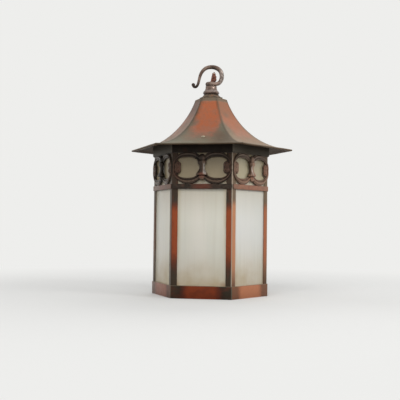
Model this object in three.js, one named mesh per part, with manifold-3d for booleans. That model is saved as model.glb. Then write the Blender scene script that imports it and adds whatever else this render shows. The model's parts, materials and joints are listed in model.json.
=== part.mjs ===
// Hexagonal copper lantern with a scroll hook, a flared roof, a pierced frieze and opal glass.
// Millimetres, +Z up. The origin is the centre of the base, and the front face looks along -Y.
import * as THREE from 'three';
import { mergeVertices } from 'three/addons/utils/BufferGeometryUtils.js';
import Module from 'manifold-3d';

const wasm = await Module();
wasm.setup();

// General
const SIDES = 6;
const SHEET = 1.0; // thickness of the copper sheet
const SEAT_GAP = 0.3; // clearance between pieces that touch
const ROUND_STEPS = 24; // facets round a turned piece
const INNER_STEPS = 16; // facets round a turned piece inside the lantern

// Base band and the glass that stands on its ledge
const BAND_SIDE = 101.6; // one side of the hexagon, four inches
const BAND_HEIGHT = 21.2;
const LEDGE_WIDTH = 9;
const GLASS_THICK = 3;
const GLASS_EDGE_GAP = 3.2; // from a pane's edge to the inner corner of its post
const POST_FLANGE = 9.8;
const CLIP_FLANGE = 8;
const CLIP_HEIGHT = 14;

// Frieze: a rail, two rings, four volutes and a baluster on each face
const RAIL_LOW = 179.7;
const RAIL_TALL = 8.3;
const RAIL_RELIEF = 2;
const RAIL_EDGE = 0.6;
const FRIEZE_OPEN = 52; // from the rail to the collar
const FRIEZE_PLATE = 0.8; // tongue behind the collar
const RING_LAP = 0.4; // how far a ring sinks into the rail
const RING_TUCK = 2.2; // how far it would run up behind the collar
const RING_CROSS = 4.7; // how far it crosses the middle of the face
const RING_BAND = 10.2;
const RING_DRAWN = 6; // how far its opening is drawn out towards the corner
const RING_NECK = 1.2; // and towards the baluster
const RING_SQUARE = 2.5; // power of the opening's outline, where 2 is an oval
const RING_RELIEF = 2.8;
const RING_STEPS = 16;
const VOLUTE_RADIUS = 5.2;
const VOLUTE_LAP = 0.9; // of its centre, into the ring's band
const VOLUTE_RISE = 4.9; // above and below the ring's centre
const VOLUTE_RELIEF = 3.2;
const LEAF_RELIEF = 1.8; // of the web between two volutes
const VOLUTE_STEPS = 8;
const BALUSTER_WAIST = 4.4; // half widths
const BALUSTER_SKIRT = 9.6;
const BALUSTER_CAPITAL = 6.9;
const BALUSTER_BOSS = 5.2;
const BALUSTER_FLATNESS = 0.6; // depth over half width
const BALUSTER_LIFT = 1.2; // of its widest section, off the panel's back
const BALUSTER_STEPS = 10;

// Collar that closes the top of the body
const COLLAR_FLANGE = 10.8;

// Roof, given by its hip line from the brim to the shoulder
const BRIM_OVERHANG = 41.2; // from the band's corner
const BRIM_RISE = 12.2; // above the collar's lower edge
const BRIM_PULL = 84;
const BRIM_LIFT = 5;
const ROOF_RISE = 87.4;
const SHOULDER_RADIUS = 28.2;
const SHOULDER_PULL = 3;
const CROWN_RADIUS = 20;
const CROWN_RISE = 2.6;
const HEM_DEPTH = 3;
const HEM_WIDTH = 9;
const ROOF_STEPS = 13;
const HEM_STEPS = 2;
const NOSE_STEPS = 3;

// Screws that hold the roof to brackets on the collar
const FIXED_FACES = 3;
const SCREW_INSET = 11; // from the collar's outer face
const SCREW_RADIUS = 1.7;
const SCREW_HEAD = 3.4;
const SCREW_HEAD_HEIGHT = 2;
const SCREW_REACH = 5;
const SCREW_SEAT = 0.6; // under the head, over the flat facets of the curved roof
const SCREW_STEPS = 10;
const BRACKET_THICK = 1.5;
const BRACKET_WIDTH = 12;
const BRACKET_FLAP = 10;

// Nipple, cap, hub and hook
const NIPPLE_RADIUS = 5.15;
const NIPPLE_BORE = 3.6;
const NIPPLE_SINK = 1.4; // below the top of the hook's eye
const NIPPLE_ENTRY = 9; // into the lamp holder's cap
const CAP_LAP = 0.4; // past the crown's edge
const CAP_RISE = 5.8;
const CAP_TOP_RADIUS = 13.4;
const HUB_FLANGE = 14.3;
const HUB_WAIST = 10.3;
const HUB_LENGTH = 15;
const EYE_RADIUS = 10.2;
const EYE_DEPTH = 7;
const HOOK_RISE = 9.3; // centre of the bend above the eye
const HOOK_BEND = 18.3; // radius of the bend's centre line
const HOOK_THICK = 3.65; // radius of the rod at the bend
const HOOK_TAPER = 2.35; // radius of the rod at the scroll
const HOOK_SIDES = 8;
const HOOK_STEPS = 30;
const SCROLL_BALL = 2.6;

// Nut and washer under the peak
const WASHER_RADIUS = 13;
const WASHER_THICK = 1.5;
const NUT_RADIUS = 9;
const NUT_THICK = 4;

// Lamp holder, from the top down and from its skin inwards
const HOLDER_DROP = 30; // below the crown
const HOLDER_CAP_HEIGHT = 27;
const HOLDER_CAP_LAP = 5; // of the cap's skirt over the shell
const HOLDER_NECK = 8.2;
const HOLDER_SKIN = 0.8;
const HOLDER_SHELL_RADIUS = 17;
const HOLDER_SHELL_LENGTH = 44;
const HOLDER_BEAD = 3; // height of the bead round its mouth
const SLEEVE_THICK = 1;
const SLEEVE_INSET = 2;
const SCREW_SHELL_THICK = 0.6;
const SCREW_SHELL_INSET = 5;
const PORCELAIN_INSET = 6; // below the shell's top
const PORCELAIN_THICK = 9;
const CONTACT_RADIUS = 4.5;
const CONTACT_THICK = 0.8;
const TERMINAL_INSET = 5.9; // from the porcelain's edge
const TERMINAL_RADIUS = 2.2;
const TERMINAL_HEIGHT = 3;

// Bulb
const BULB_RADIUS = 30;
const BULB_LENGTH = 92; // from the cap's lower edge to the tip
const BULB_WALL = 0.8;
const BULB_TUCK = 3; // how far the glass runs up inside its cap
const BULB_CAP_HEIGHT = 20;
const BULB_FOOT_HEIGHT = 2.6;

// Two cloth-covered leads, twisted through the nipple and cut above it
const LEAD_RADIUS = 1.55;
const LEAD_PITCH = 22.4;
const LEAD_STUB = 18.5; // above the nipple
const LEAD_STAGGER = 2.6;
const LEAD_SWELL = 0.8; // of the frayed cloth above the nipple
const LEAD_LEAN = 4.5; // of the cut ends, to the right
const LEAD_SPREAD = 2.6; // of the cut ends, to either side of that
const LEAD_BEND = 8; // height in which they reach it
const LEAD_SIDES = 6;
const LEAD_STEPS = 36;

// The hexagon
const HALF_SECTOR = Math.PI / SIDES;
const SECTOR = 2 * HALF_SECTOR;
const cornerOf = (apothem) => apothem / Math.cos(HALF_SECTOR);
const apothemOf = (corner) => corner * Math.cos(HALF_SECTOR);
const halfSide = (apothem) => apothem * Math.tan(HALF_SECTOR);

// Distances of the walls from the axis, from the band inwards and then out to the collar
const BAND_OUT = BAND_SIDE / 2 / Math.tan(HALF_SECTOR);
const BAND_IN = BAND_OUT - SHEET;
const POST_OUT = BAND_IN - SEAT_GAP;
const POST_IN = POST_OUT - SHEET;
const GLASS_OUT = POST_IN - SEAT_GAP;
const GLASS_IN = GLASS_OUT - GLASS_THICK;
const FRIEZE_BACK = POST_OUT + SEAT_GAP;
const FRIEZE_FACE = FRIEZE_BACK + FRIEZE_PLATE;
const COLLAR_IN = FRIEZE_FACE + SEAT_GAP;
const COLLAR_OUT = COLLAR_IN + SHEET;
const FLANGE_IN = COLLAR_OUT - COLLAR_FLANGE;
const SCREW_APOTHEM = COLLAR_OUT - SCREW_INSET;

// Heights of the frieze and the roof
const RAIL_HIGH = RAIL_LOW + RAIL_TALL;
const COLLAR_LOW = RAIL_HIGH + FRIEZE_OPEN;
const RING_OUTER = (FRIEZE_OPEN + RING_LAP + RING_TUCK) / 2;
const RING_OPENING = RING_OUTER - RING_BAND;
const RING_HEIGHT = RAIL_HIGH + RING_OUTER - RING_LAP;
const RING_SPREAD = RING_OUTER - RING_CROSS;
const BRIM_RADIUS = cornerOf(BAND_OUT) + BRIM_OVERHANG;
const BRIM_HEIGHT = COLLAR_LOW + BRIM_RISE;
const SHOULDER_HEIGHT = BRIM_HEIGHT + ROOF_RISE;
const CROWN_HEIGHT = SHOULDER_HEIGHT + CROWN_RISE;
const hip = roofHip();
const COLLAR_TOP = undersideAt(COLLAR_OUT) - SEAT_GAP;
const FRAME_LOW = SHEET + SEAT_GAP;
const FRAME_HIGH = COLLAR_TOP - SHEET - SEAT_GAP;
const CLIP_AT = (BAND_HEIGHT + RAIL_LOW) / 2;

// The stack on the nipple, from the crown up
const BORE = NIPPLE_RADIUS + SEAT_GAP;
const CAP_LOW = CROWN_HEIGHT + SEAT_GAP;
const CAP_TOP = CAP_LOW + CAP_RISE;
const CAP_FOOT = CROWN_RADIUS + CAP_LAP;
const HUB_LOW = CAP_TOP + SEAT_GAP;
const HUB_TOP = HUB_LOW + HUB_LENGTH;
const EYE_LOW = HUB_TOP + SEAT_GAP;
const EYE_TOP = EYE_LOW + EYE_DEPTH;
const HOOK_CENTRE = EYE_TOP + HOOK_RISE;
const NIPPLE_TOP = EYE_TOP - NIPPLE_SINK;
const LEAD_TOP = NIPPLE_TOP + LEAD_STUB;
const LEAD_TWIST = (NIPPLE_BORE - SEAT_GAP) - LEAD_RADIUS;

// The stack on the nipple, from the crown down
const WASHER_TOP = CROWN_HEIGHT - SHEET - SEAT_GAP;
const NUT_TOP = WASHER_TOP - WASHER_THICK - SEAT_GAP;
const HOLDER_CAP_TOP = CROWN_HEIGHT - HOLDER_DROP;
const HOLDER_CAP_LOW = HOLDER_CAP_TOP - HOLDER_CAP_HEIGHT;
const HOLDER_SHELL_TOP = HOLDER_CAP_LOW + HOLDER_CAP_LAP;
const HOLDER_SHELL_LOW = HOLDER_SHELL_TOP - HOLDER_SHELL_LENGTH;
const NIPPLE_LOW = HOLDER_CAP_TOP - NIPPLE_ENTRY;
const PORCELAIN_HIGH = HOLDER_SHELL_TOP - PORCELAIN_INSET;
const PORCELAIN_LOW = PORCELAIN_HIGH - PORCELAIN_THICK;
const TERMINAL_LOW = PORCELAIN_HIGH + SEAT_GAP;
const SLEEVE_OUT = HOLDER_SHELL_RADIUS - HOLDER_SKIN - SEAT_GAP;
const TERMINAL_SPREAD = SLEEVE_OUT - TERMINAL_INSET;
const SLEEVE_IN = SLEEVE_OUT - SLEEVE_THICK;
const SCREW_SHELL_OUT = SLEEVE_IN - SEAT_GAP;
const SCREW_SHELL_IN = SCREW_SHELL_OUT - SCREW_SHELL_THICK;
const BULB_CAP_RADIUS = SCREW_SHELL_IN - SEAT_GAP;
const CONTACT_LOW = PORCELAIN_LOW - SEAT_GAP - CONTACT_THICK;
const BULB_FOOT_TOP = CONTACT_LOW - SEAT_GAP;
const BULB_CAP_TOP = BULB_FOOT_TOP - BULB_FOOT_HEIGHT - SEAT_GAP;
const BULB_CAP_LOW = BULB_CAP_TOP - BULB_CAP_HEIGHT;

// Finishes
function finish(color, roughness, metalness) {
  return new THREE.MeshStandardMaterial({ color, roughness, metalness });
}
const copper = finish(0x9a5b40, 0.45, 0.85);
const darkCopper = finish(0x4c4038, 0.55, 0.7);
const castCopper = finish(0x6b574c, 0.5, 0.75);
const bronze = finish(0x85705f, 0.35, 0.85);
const patina = finish(0x7d7763, 0.6, 0.5);
const opalGlass = finish(0xccccc2, 0.25, 0);
const brass = finish(0xb08d4a, 0.35, 0.9);
const porcelain = finish(0xe4dfd2, 0.3, 0);
const fibre = finish(0x4a3626, 0.9, 0);
const frostedGlass = finish(0xecebe4, 0.4, 0);
const rustCloth = finish(0x7a4a38, 0.95, 0);

// Solids
function asSolid(geometry) {
  const bare = new THREE.BufferGeometry();
  bare.setAttribute('position', geometry.getAttribute('position').clone());
  bare.setIndex(geometry.getIndex());
  const merged = mergeVertices(bare, 1e-4);
  const mesh = new wasm.Mesh({
    numProp: 3,
    vertProperties: new Float32Array(merged.getAttribute('position').array),
    triVerts: new Uint32Array(merged.getIndex().array),
  });
  return new wasm.Manifold(mesh);
}

function asGeometry(solid) {
  const mesh = solid.getMesh();
  const geometry = new THREE.BufferGeometry();
  geometry.setAttribute('position', new THREE.BufferAttribute(mesh.vertProperties, 3));
  geometry.setIndex(new THREE.BufferAttribute(mesh.triVerts, 1));
  return geometry;
}

// A profile of [radius, height] pairs, up the outside and down the inside, turned about Z
function turned(profile, steps = ROUND_STEPS, start = 0) {
  const points = profile.map(([radius, height]) => new THREE.Vector2(radius, height));
  return new THREE.LatheGeometry(points, steps, start).rotateX(Math.PI / 2);
}

function turnedRing(profile, steps, start) {
  return turned([...profile, profile[0]], steps, start);
}

// A profile of [apothem, height] pairs carried round the hexagon
function sixSided(profile) {
  return turned(profile.map(([apothem, height]) => [cornerOf(apothem), height]), SIDES, HALF_SECTOR);
}

function outline(points) {
  return new THREE.Shape(points.map(([x, y]) => new THREE.Vector2(x, y)));
}

// A flat outline in X and Y, standing between two heights
function prism(points, low, high) {
  const geometry = new THREE.ExtrudeGeometry(outline(points), { depth: high - low, bevelEnabled: false });
  return geometry.translate(0, 0, low);
}

// An outline of [outwards, height] pairs in the radial plane of the front face, of a given width
function acrossFace(points, width) {
  const geometry = new THREE.ExtrudeGeometry(outline(points), { depth: width, bevelEnabled: false });
  return geometry.translate(0, 0, -width / 2).rotateX(Math.PI / 2).rotateZ(-Math.PI / 2);
}

// A round bar along a curve, whose radius follows the distance along it
function roundBar(curve, radiusAt, steps, sides) {
  const frames = curve.computeFrenetFrames(steps, false);
  const vertices = [];
  const faces = [];
  for (let i = 0; i <= steps; i += 1) {
    const centre = curve.getPointAt(i / steps);
    for (let j = 0; j < sides; j += 1) {
      const turn = (j / sides) * 2 * Math.PI;
      const point = centre.clone();
      point.addScaledVector(frames.normals[i], radiusAt(i / steps) * Math.cos(turn));
      point.addScaledVector(frames.binormals[i], radiusAt(i / steps) * Math.sin(turn));
      vertices.push(point.x, point.y, point.z);
    }
  }
  for (let i = 0; i < steps; i += 1) {
    for (let j = 0; j < sides; j += 1) {
      const a = i * sides + j;
      const b = i * sides + ((j + 1) % sides);
      faces.push(a, b, b + sides, a, b + sides, a + sides);
    }
  }
  const last = steps * sides;
  for (let j = 1; j < sides - 1; j += 1) {
    faces.push(0, j + 1, j, last, last + j, last + j + 1);
  }
  const geometry = new THREE.BufferGeometry();
  geometry.setAttribute('position', new THREE.Float32BufferAttribute(vertices, 3));
  geometry.setIndex(faces);
  return geometry;
}

// Roof line
function roofHip() {
  const nose = cornerOf(HEM_DEPTH / 2);
  const brim = new THREE.Vector2(BRIM_RADIUS - nose, BRIM_HEIGHT);
  const flare = new THREE.Vector2(brim.x - BRIM_PULL, BRIM_HEIGHT + BRIM_LIFT);
  const neck = new THREE.Vector2(SHOULDER_RADIUS, SHOULDER_HEIGHT - SHOULDER_PULL);
  const shoulder = new THREE.Vector2(SHOULDER_RADIUS, SHOULDER_HEIGHT);
  return new THREE.CubicBezierCurve(brim, flare, neck, shoulder);
}

// The roof's slope at t, in the radial plane of a face: its outer point and its inward normal
function slopeAt(t) {
  const corner = hip.getPoint(t);
  const along = hip.getTangent(t);
  const normal = new THREE.Vector2(-along.y, apothemOf(along.x)).normalize();
  return { point: new THREE.Vector2(apothemOf(corner.x), corner.y), normal };
}

function under(t, depth) {
  const { point, normal } = slopeAt(t);
  return point.clone().addScaledVector(normal, depth);
}

// The place along the roof line where a test that holds at the brim stops holding
function slopeWhere(holds) {
  let low = 0;
  let high = 1;
  for (let i = 0; i < 40; i += 1) {
    const middle = (low + high) / 2;
    if (holds(middle)) {
      low = middle;
    } else {
      high = middle;
    }
  }
  return (low + high) / 2;
}

function slopeOver(apothem) {
  return slopeWhere((t) => slopeAt(t).point.x > apothem);
}

function undersideAt(apothem) {
  return under(slopeWhere((t) => under(t, SHEET).x > apothem), SHEET).y;
}

function undersideReach(height) {
  return under(slopeWhere((t) => under(t, SHEET).y < height), SHEET).x;
}

// The front, or the sector of the hexagon on its side, from one apothem outwards
function sector(apothem, low, high) {
  const far = BRIM_RADIUS;
  const back = SEAT_GAP / 2 / Math.cos(HALF_SECTOR);
  const near = halfSide(apothem) - back;
  const wide = halfSide(far) - back;
  return asSolid(prism([[-near, -apothem], [-wide, -far], [wide, -far], [near, -apothem]], low, high));
}

// An angle strip on the corner that lies along +X: outer and inner apothem, and its flange
function cornerStrip(outer, inner, flange) {
  const along = [-Math.sin(HALF_SECTOR), Math.cos(HALF_SECTOR)];
  const tip = [cornerOf(outer) + flange * along[0], flange * along[1]];
  const depth = outer - inner;
  const heel = [tip[0] - depth * along[1], tip[1] + depth * along[0]];
  return { corner: cornerOf(outer), inside: cornerOf(inner), tip, heel };
}

function baseBand() {
  const ledge = BAND_OUT - LEDGE_WIDTH;
  return sixSided([
    [ledge, 0], [BAND_OUT, 0], [BAND_OUT, BAND_HEIGHT], [BAND_IN, BAND_HEIGHT],
    [BAND_IN, SHEET], [ledge, SHEET], [ledge, 0],
  ]);
}

function topCollar() {
  return sixSided([
    [COLLAR_IN, COLLAR_LOW], [COLLAR_OUT, COLLAR_LOW], [COLLAR_OUT, COLLAR_TOP], [FLANGE_IN, COLLAR_TOP],
    [FLANGE_IN, COLLAR_TOP - SHEET], [COLLAR_IN, COLLAR_TOP - SHEET], [COLLAR_IN, COLLAR_LOW],
  ]);
}

function cornerPost() {
  const { corner, inside, tip, heel } = cornerStrip(POST_OUT, POST_IN, POST_FLANGE);
  const points = [[corner, 0], tip, heel, [inside, 0], [heel[0], -heel[1]], [tip[0], -tip[1]]];
  return prism(points, FRAME_LOW, FRAME_HIGH);
}

// A pane stands on the ledge, behind the flanges of two posts
function glassPane() {
  const half = halfSide(POST_IN) - GLASS_EDGE_GAP;
  const points = [[-half, -GLASS_OUT], [half, -GLASS_OUT], [half, -GLASS_IN], [-half, -GLASS_IN]];
  return prism(points, FRAME_LOW, FRAME_HIGH);
}

// A clip's stem reaches from the post between two panes, and its wings press them to the flanges
function glassClip() {
  const outer = GLASS_IN - SEAT_GAP;
  const { corner, inside, tip, heel } = cornerStrip(outer, outer - SHEET, CLIP_FLANGE);
  const half = SHEET / 2;
  const slant = half * Math.tan(HALF_SECTOR);
  const root = corner - slant;
  const end = cornerOf(POST_IN - SEAT_GAP) - slant;
  const points = [
    [end, half], [root, half], tip, heel, [inside, 0], [heel[0], -heel[1]], [tip[0], -tip[1]],
    [root, -half], [end, -half],
  ];
  return prism(points, CLIP_AT - CLIP_HEIGHT / 2, CLIP_AT + CLIP_HEIGHT / 2);
}

// Frieze pieces are drawn with X along the face, Y up and Z outwards from the panel's back
function friezeRing(side) {
  const flats = 1 / Math.cos(Math.PI / RING_STEPS);
  const profile = [
    [0, 0], [1, 0], [0.96, 0.58], [0.6, 1], [0.3, 0.7], [0.14, 0.8], [0, 0.55],
  ].map(([across, up]) => [(RING_OPENING + across * RING_BAND) * flats, up * RING_RELIEF]);
  const ring = asSolid(turnedRing(profile, RING_STEPS, Math.PI / RING_STEPS));
  const half = RING_OPENING + (RING_DRAWN + RING_NECK) / 2;
  const squared = (value) => Math.sign(value) * Math.abs(value) ** (2 / RING_SQUARE);
  const points = [];
  for (let i = 0; i < RING_STEPS + 4; i += 1) {
    const turn = (i / (RING_STEPS + 4)) * 2 * Math.PI;
    points.push([half * squared(Math.cos(turn)), RING_OPENING * squared(Math.sin(turn))]);
  }
  const opening = prism(points, -RING_RELIEF, 2 * RING_RELIEF);
  return ring.subtract(asSolid(opening.translate((side * (RING_DRAWN - RING_NECK)) / 2, 0, 0)));
}

// Two volutes, one over the other, on a web whose inner edge is straight
function friezeLeaf(side) {
  const centre = side * (RING_OPENING + VOLUTE_LAP);
  const profile = [[0, 0], [1, 0], [0.82, 0.95], [0.46, 0.6], [0.3, 0.95], [0, 1]];
  const scaled = profile.map(([across, up]) => [across * VOLUTE_RADIUS, up * VOLUTE_RELIEF]);
  const volute = asSolid(turned(scaled, VOLUTE_STEPS));
  const web = new THREE.BoxGeometry(1.9 * VOLUTE_RADIUS, 2 * VOLUTE_RISE, LEAF_RELIEF);
  let leaf = asSolid(web.translate(centre, 0, LEAF_RELIEF / 2));
  for (const rise of [-VOLUTE_RISE, VOLUTE_RISE]) {
    leaf = leaf.add(volute.translate([centre, rise, 0]));
  }
  return leaf;
}

function friezeBaluster() {
  const low = RING_HEIGHT - RAIL_HIGH - SEAT_GAP;
  const profile = [
    [0, -0.8 * low], [0.6 * BALUSTER_BOSS, -0.74 * low], [BALUSTER_BOSS, -0.58 * low],
    [0.8 * BALUSTER_BOSS, -0.48 * low], [BALUSTER_SKIRT, -0.43 * low],
    [0.5 * (BALUSTER_SKIRT + BALUSTER_WAIST), -0.22 * low], [BALUSTER_WAIST, 0.02 * low],
    [BALUSTER_WAIST, 0.2 * low], [BALUSTER_CAPITAL, 0.36 * low], [BALUSTER_CAPITAL, 0.56 * low],
    [0.5 * BALUSTER_CAPITAL, 0.7 * low], [0, 0.84 * low],
  ];
  const geometry = turned(profile, BALUSTER_STEPS).rotateX(-Math.PI / 2);
  return asSolid(geometry.scale(1, 1, BALUSTER_FLATNESS).translate(0, 0, BALUSTER_LIFT));
}

function friezeRail() {
  const half = halfSide(FRIEZE_BACK + RAIL_RELIEF);
  const middle = (RAIL_LOW + RAIL_HIGH) / 2 - RING_HEIGHT;
  const tall = RAIL_HIGH - RAIL_LOW;
  const rail = new THREE.BoxGeometry(2 * half, tall, RAIL_RELIEF - RAIL_EDGE);
  rail.translate(0, middle, (RAIL_RELIEF - RAIL_EDGE) / 2);
  const bead = new THREE.BoxGeometry(2 * half, tall - 2 * RAIL_EDGE, RAIL_RELIEF);
  bead.translate(0, middle, RAIL_RELIEF / 2);
  return asSolid(rail).add(asSolid(bead));
}

function friezeTongue() {
  const low = COLLAR_LOW - SHEET;
  const tongue = new THREE.BoxGeometry(2 * halfSide(FRIEZE_FACE), FRAME_HIGH - low, FRIEZE_PLATE);
  return asSolid(tongue.translate(0, (low + FRAME_HIGH) / 2 - RING_HEIGHT, FRIEZE_PLATE / 2));
}

// What stands proud below the collar stops short of it
function collarRelief() {
  const low = COLLAR_LOW - SEAT_GAP;
  const reach = 2 * BALUSTER_SKIRT;
  const block = new THREE.BoxGeometry(2 * BAND_SIDE, COLLAR_TOP - low, reach);
  const deep = FRIEZE_PLATE + reach / 2;
  return asSolid(block.translate(0, (low + COLLAR_TOP) / 2 - RING_HEIGHT, deep));
}

function friezePanel() {
  let panel = friezeRail().add(friezeTongue()).add(friezeBaluster());
  for (const side of [-1, 1]) {
    const pierced = friezeRing(side).add(friezeLeaf(side));
    panel = panel.add(pierced.translate([side * RING_SPREAD, 0, 0]));
  }
  panel = panel.subtract(collarRelief());
  panel = panel.rotate([90, 0, 0]).translate([0, -FRIEZE_BACK, RING_HEIGHT]);
  return asGeometry(panel.intersect(sector(FRIEZE_BACK, RAIL_LOW, FRAME_HIGH)));
}

// Screws and the holes for them lie on the roof's normal, through one point of its slope
function onSlope(geometry) {
  const { point, normal } = slopeAt(slopeOver(SCREW_APOTHEM));
  const tilt = Math.atan2(-normal.x, -normal.y);
  return geometry.rotateX(tilt).translate(0, -point.x, point.y);
}

function screwHole(solid, faces) {
  let bored = solid;
  for (const face of faces) {
    const hole = new THREE.CylinderGeometry(SCREW_RADIUS + SEAT_GAP, SCREW_RADIUS + SEAT_GAP,
      4 * SCREW_REACH, SCREW_STEPS).rotateX(Math.PI / 2);
    bored = bored.subtract(asSolid(onSlope(hole).rotateZ(face * SECTOR)));
  }
  return bored;
}

function fixedFaces() {
  return Array.from({ length: FIXED_FACES }, (_, i) => (i * SIDES) / FIXED_FACES);
}

function roofShell() {
  const hemEnd = slopeOver(slopeAt(0).point.x - HEM_WIDTH);
  const profile = [];
  const { normal } = slopeAt(0);
  const nose = under(0, HEM_DEPTH / 2);
  for (let i = 1; i < NOSE_STEPS; i += 1) {
    const turn = (i / NOSE_STEPS) * Math.PI;
    const away = new THREE.Vector2(-normal.y, normal.x).multiplyScalar(Math.sin(turn));
    away.addScaledVector(normal, Math.cos(turn)).multiplyScalar(HEM_DEPTH / 2);
    profile.push([nose.x + away.x, nose.y + away.y]);
  }
  for (let i = 0; i <= ROOF_STEPS; i += 1) {
    const { point } = slopeAt(i / ROOF_STEPS);
    profile.push([point.x, point.y]);
  }
  const crown = apothemOf(CROWN_RADIUS);
  profile.push([crown, CROWN_HEIGHT], [0, CROWN_HEIGHT], [0, CROWN_HEIGHT - SHEET]);
  profile.push([crown - SHEET / 2, CROWN_HEIGHT - SHEET]);
  for (let i = ROOF_STEPS; i >= 0; i -= 1) {
    const t = hemEnd + (1 - hemEnd) * (i / ROOF_STEPS);
    const inner = under(t, SHEET);
    profile.push([inner.x, Math.min(inner.y, SHOULDER_HEIGHT - SHEET)]);
  }
  for (let i = HEM_STEPS; i >= 0; i -= 1) {
    const inner = under((hemEnd * i) / HEM_STEPS, HEM_DEPTH);
    profile.push([inner.x, inner.y]);
  }
  profile.push(profile[0]);
  const bore = new THREE.CylinderGeometry(BORE, BORE, 4 * SHEET, ROUND_STEPS);
  const shell = asSolid(sixSided(profile));
  const hole = asSolid(bore.rotateX(Math.PI / 2).translate(0, 0, CROWN_HEIGHT));
  return asGeometry(screwHole(shell.subtract(hole), fixedFaces()));
}

// Foot on the collar's flange, a riser, and a flap under the roof that takes the screw
function roofBracket() {
  const { point, normal } = slopeAt(slopeOver(SCREW_APOTHEM));
  const down = new THREE.Vector2(-normal.y, normal.x);
  const seat = point.clone().addScaledVector(normal, SHEET + SEAT_GAP);
  const lip = seat.clone().addScaledVector(down, BRACKET_FLAP / 2);
  const bend = seat.clone().addScaledVector(down, -BRACKET_FLAP / 2);
  const lipUnder = lip.clone().addScaledVector(normal, BRACKET_THICK);
  const bendUnder = bend.x + BRACKET_THICK;
  const fall = (lipUnder.x - bendUnder) * (down.y / down.x);
  const footLow = COLLAR_TOP + SEAT_GAP;
  const footOut = undersideReach(footLow + BRACKET_THICK + SEAT_GAP);
  const profile = [
    [bend.x, footLow], [footOut, footLow], [footOut, footLow + BRACKET_THICK],
    [bendUnder, footLow + BRACKET_THICK], [bendUnder, lipUnder.y - fall], [lipUnder.x, lipUnder.y],
    [lip.x, lip.y], [bend.x, bend.y],
  ];
  return asGeometry(screwHole(asSolid(acrossFace(profile, BRACKET_WIDTH)), [0]));
}

function roofScrew() {
  const profile = [
    [0, -SCREW_REACH], [SCREW_RADIUS, -SCREW_REACH], [SCREW_RADIUS, SCREW_SEAT], [SCREW_HEAD, SCREW_SEAT],
    [0.8 * SCREW_HEAD, SCREW_SEAT + 0.7 * SCREW_HEAD_HEIGHT], [0, SCREW_SEAT + SCREW_HEAD_HEIGHT],
  ];
  return onSlope(turned(profile, SCREW_STEPS));
}

function roofCap() {
  const foot = apothemOf(CAP_FOOT);
  const top = apothemOf(CAP_TOP_RADIUS);
  const flare = foot - top;
  const outer = [
    [foot, CAP_LOW], [foot, CAP_LOW + 0.16 * CAP_RISE], [foot - 0.45 * flare, CAP_LOW + 0.34 * CAP_RISE],
    [foot - 0.7 * flare, CAP_LOW + 0.6 * CAP_RISE], [top, CAP_TOP], [0, CAP_TOP],
  ];
  const inner = [
    [0, CAP_TOP - SHEET], [top - SHEET, CAP_TOP - SHEET],
    [foot - 0.7 * flare - SHEET, CAP_LOW + 0.6 * CAP_RISE - SHEET / 2],
    [foot - 0.45 * flare - SHEET, CAP_LOW], [foot, CAP_LOW],
  ];
  const bore = new THREE.CylinderGeometry(BORE, BORE, 4 * SHEET, ROUND_STEPS).rotateX(Math.PI / 2);
  return asGeometry(asSolid(sixSided([...outer, ...inner])).subtract(asSolid(bore.translate(0, 0, CAP_TOP))));
}

function hub() {
  const swell = HUB_FLANGE - HUB_WAIST;
  const at = (share) => HUB_LOW + share * HUB_LENGTH;
  return turnedRing([
    [BORE, HUB_LOW], [HUB_FLANGE - 0.25 * swell, HUB_LOW], [HUB_FLANGE, at(0.15)], [HUB_FLANGE, at(0.28)],
    [HUB_WAIST + 0.65 * swell, at(0.42)], [HUB_WAIST + 0.25 * swell, at(0.65)], [HUB_WAIST, at(0.8)],
    [HUB_WAIST, HUB_TOP], [BORE, HUB_TOP],
  ]);
}

function nipple() {
  return turnedRing([
    [NIPPLE_BORE, NIPPLE_LOW], [NIPPLE_RADIUS, NIPPLE_LOW], [NIPPLE_RADIUS, NIPPLE_TOP],
    [NIPPLE_BORE, NIPPLE_TOP],
  ], INNER_STEPS);
}

function washer() {
  const low = WASHER_TOP - WASHER_THICK;
  return turnedRing([
    [BORE, low], [WASHER_RADIUS, low], [WASHER_RADIUS, WASHER_TOP], [BORE, WASHER_TOP],
  ], INNER_STEPS);
}

function lockNut() {
  const low = NUT_TOP - NUT_THICK;
  const nut = new THREE.CylinderGeometry(NUT_RADIUS, NUT_RADIUS, NUT_THICK, 6).rotateX(Math.PI / 2);
  const bore = new THREE.CylinderGeometry(BORE, BORE, 2 * NUT_THICK, ROUND_STEPS).rotateX(Math.PI / 2);
  const solid = asSolid(nut).subtract(asSolid(bore)).translate([0, 0, low + NUT_THICK / 2]);
  return asGeometry(solid);
}

// The rod leaves the eye's front to the right, turns over the top and runs down to the scroll
function hookLine() {
  const bend = (degrees) => {
    const turn = THREE.MathUtils.degToRad(degrees);
    const x = HOOK_BEND * Math.cos(turn);
    return new THREE.Vector3(x, 0, HOOK_CENTRE + HOOK_BEND * Math.sin(turn));
  };
  const turn = (BORE + EYE_RADIUS) / 2;
  const eye = [[-0.1, -1, 0.5], [0.25, -0.82, 0.5], [0.53, -0.52, 0.58], [0.76, -0.22, 0.9]];
  const sweep = eye.map(([x, y, z]) => new THREE.Vector3(x * HOOK_BEND, y * turn, EYE_LOW + z * EYE_DEPTH));
  const shank = [[-1.08, 0.28], [-1.17, -0.1], [-1.26, -0.52], [-1.37, -0.78]];
  const scroll = [[-1.53, -0.88], [-1.7, -0.8], [-1.78, -0.68]];
  const run = [...shank, ...scroll].map(([x, z]) => (
    new THREE.Vector3(x * HOOK_BEND, 0, HOOK_CENTRE + z * HOOK_BEND)
  ));
  const arc = [0, 30, 60, 90, 120, 145].map(bend);
  return new THREE.CatmullRomCurve3([...sweep, ...arc, ...run], false, 'centripetal');
}

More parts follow.
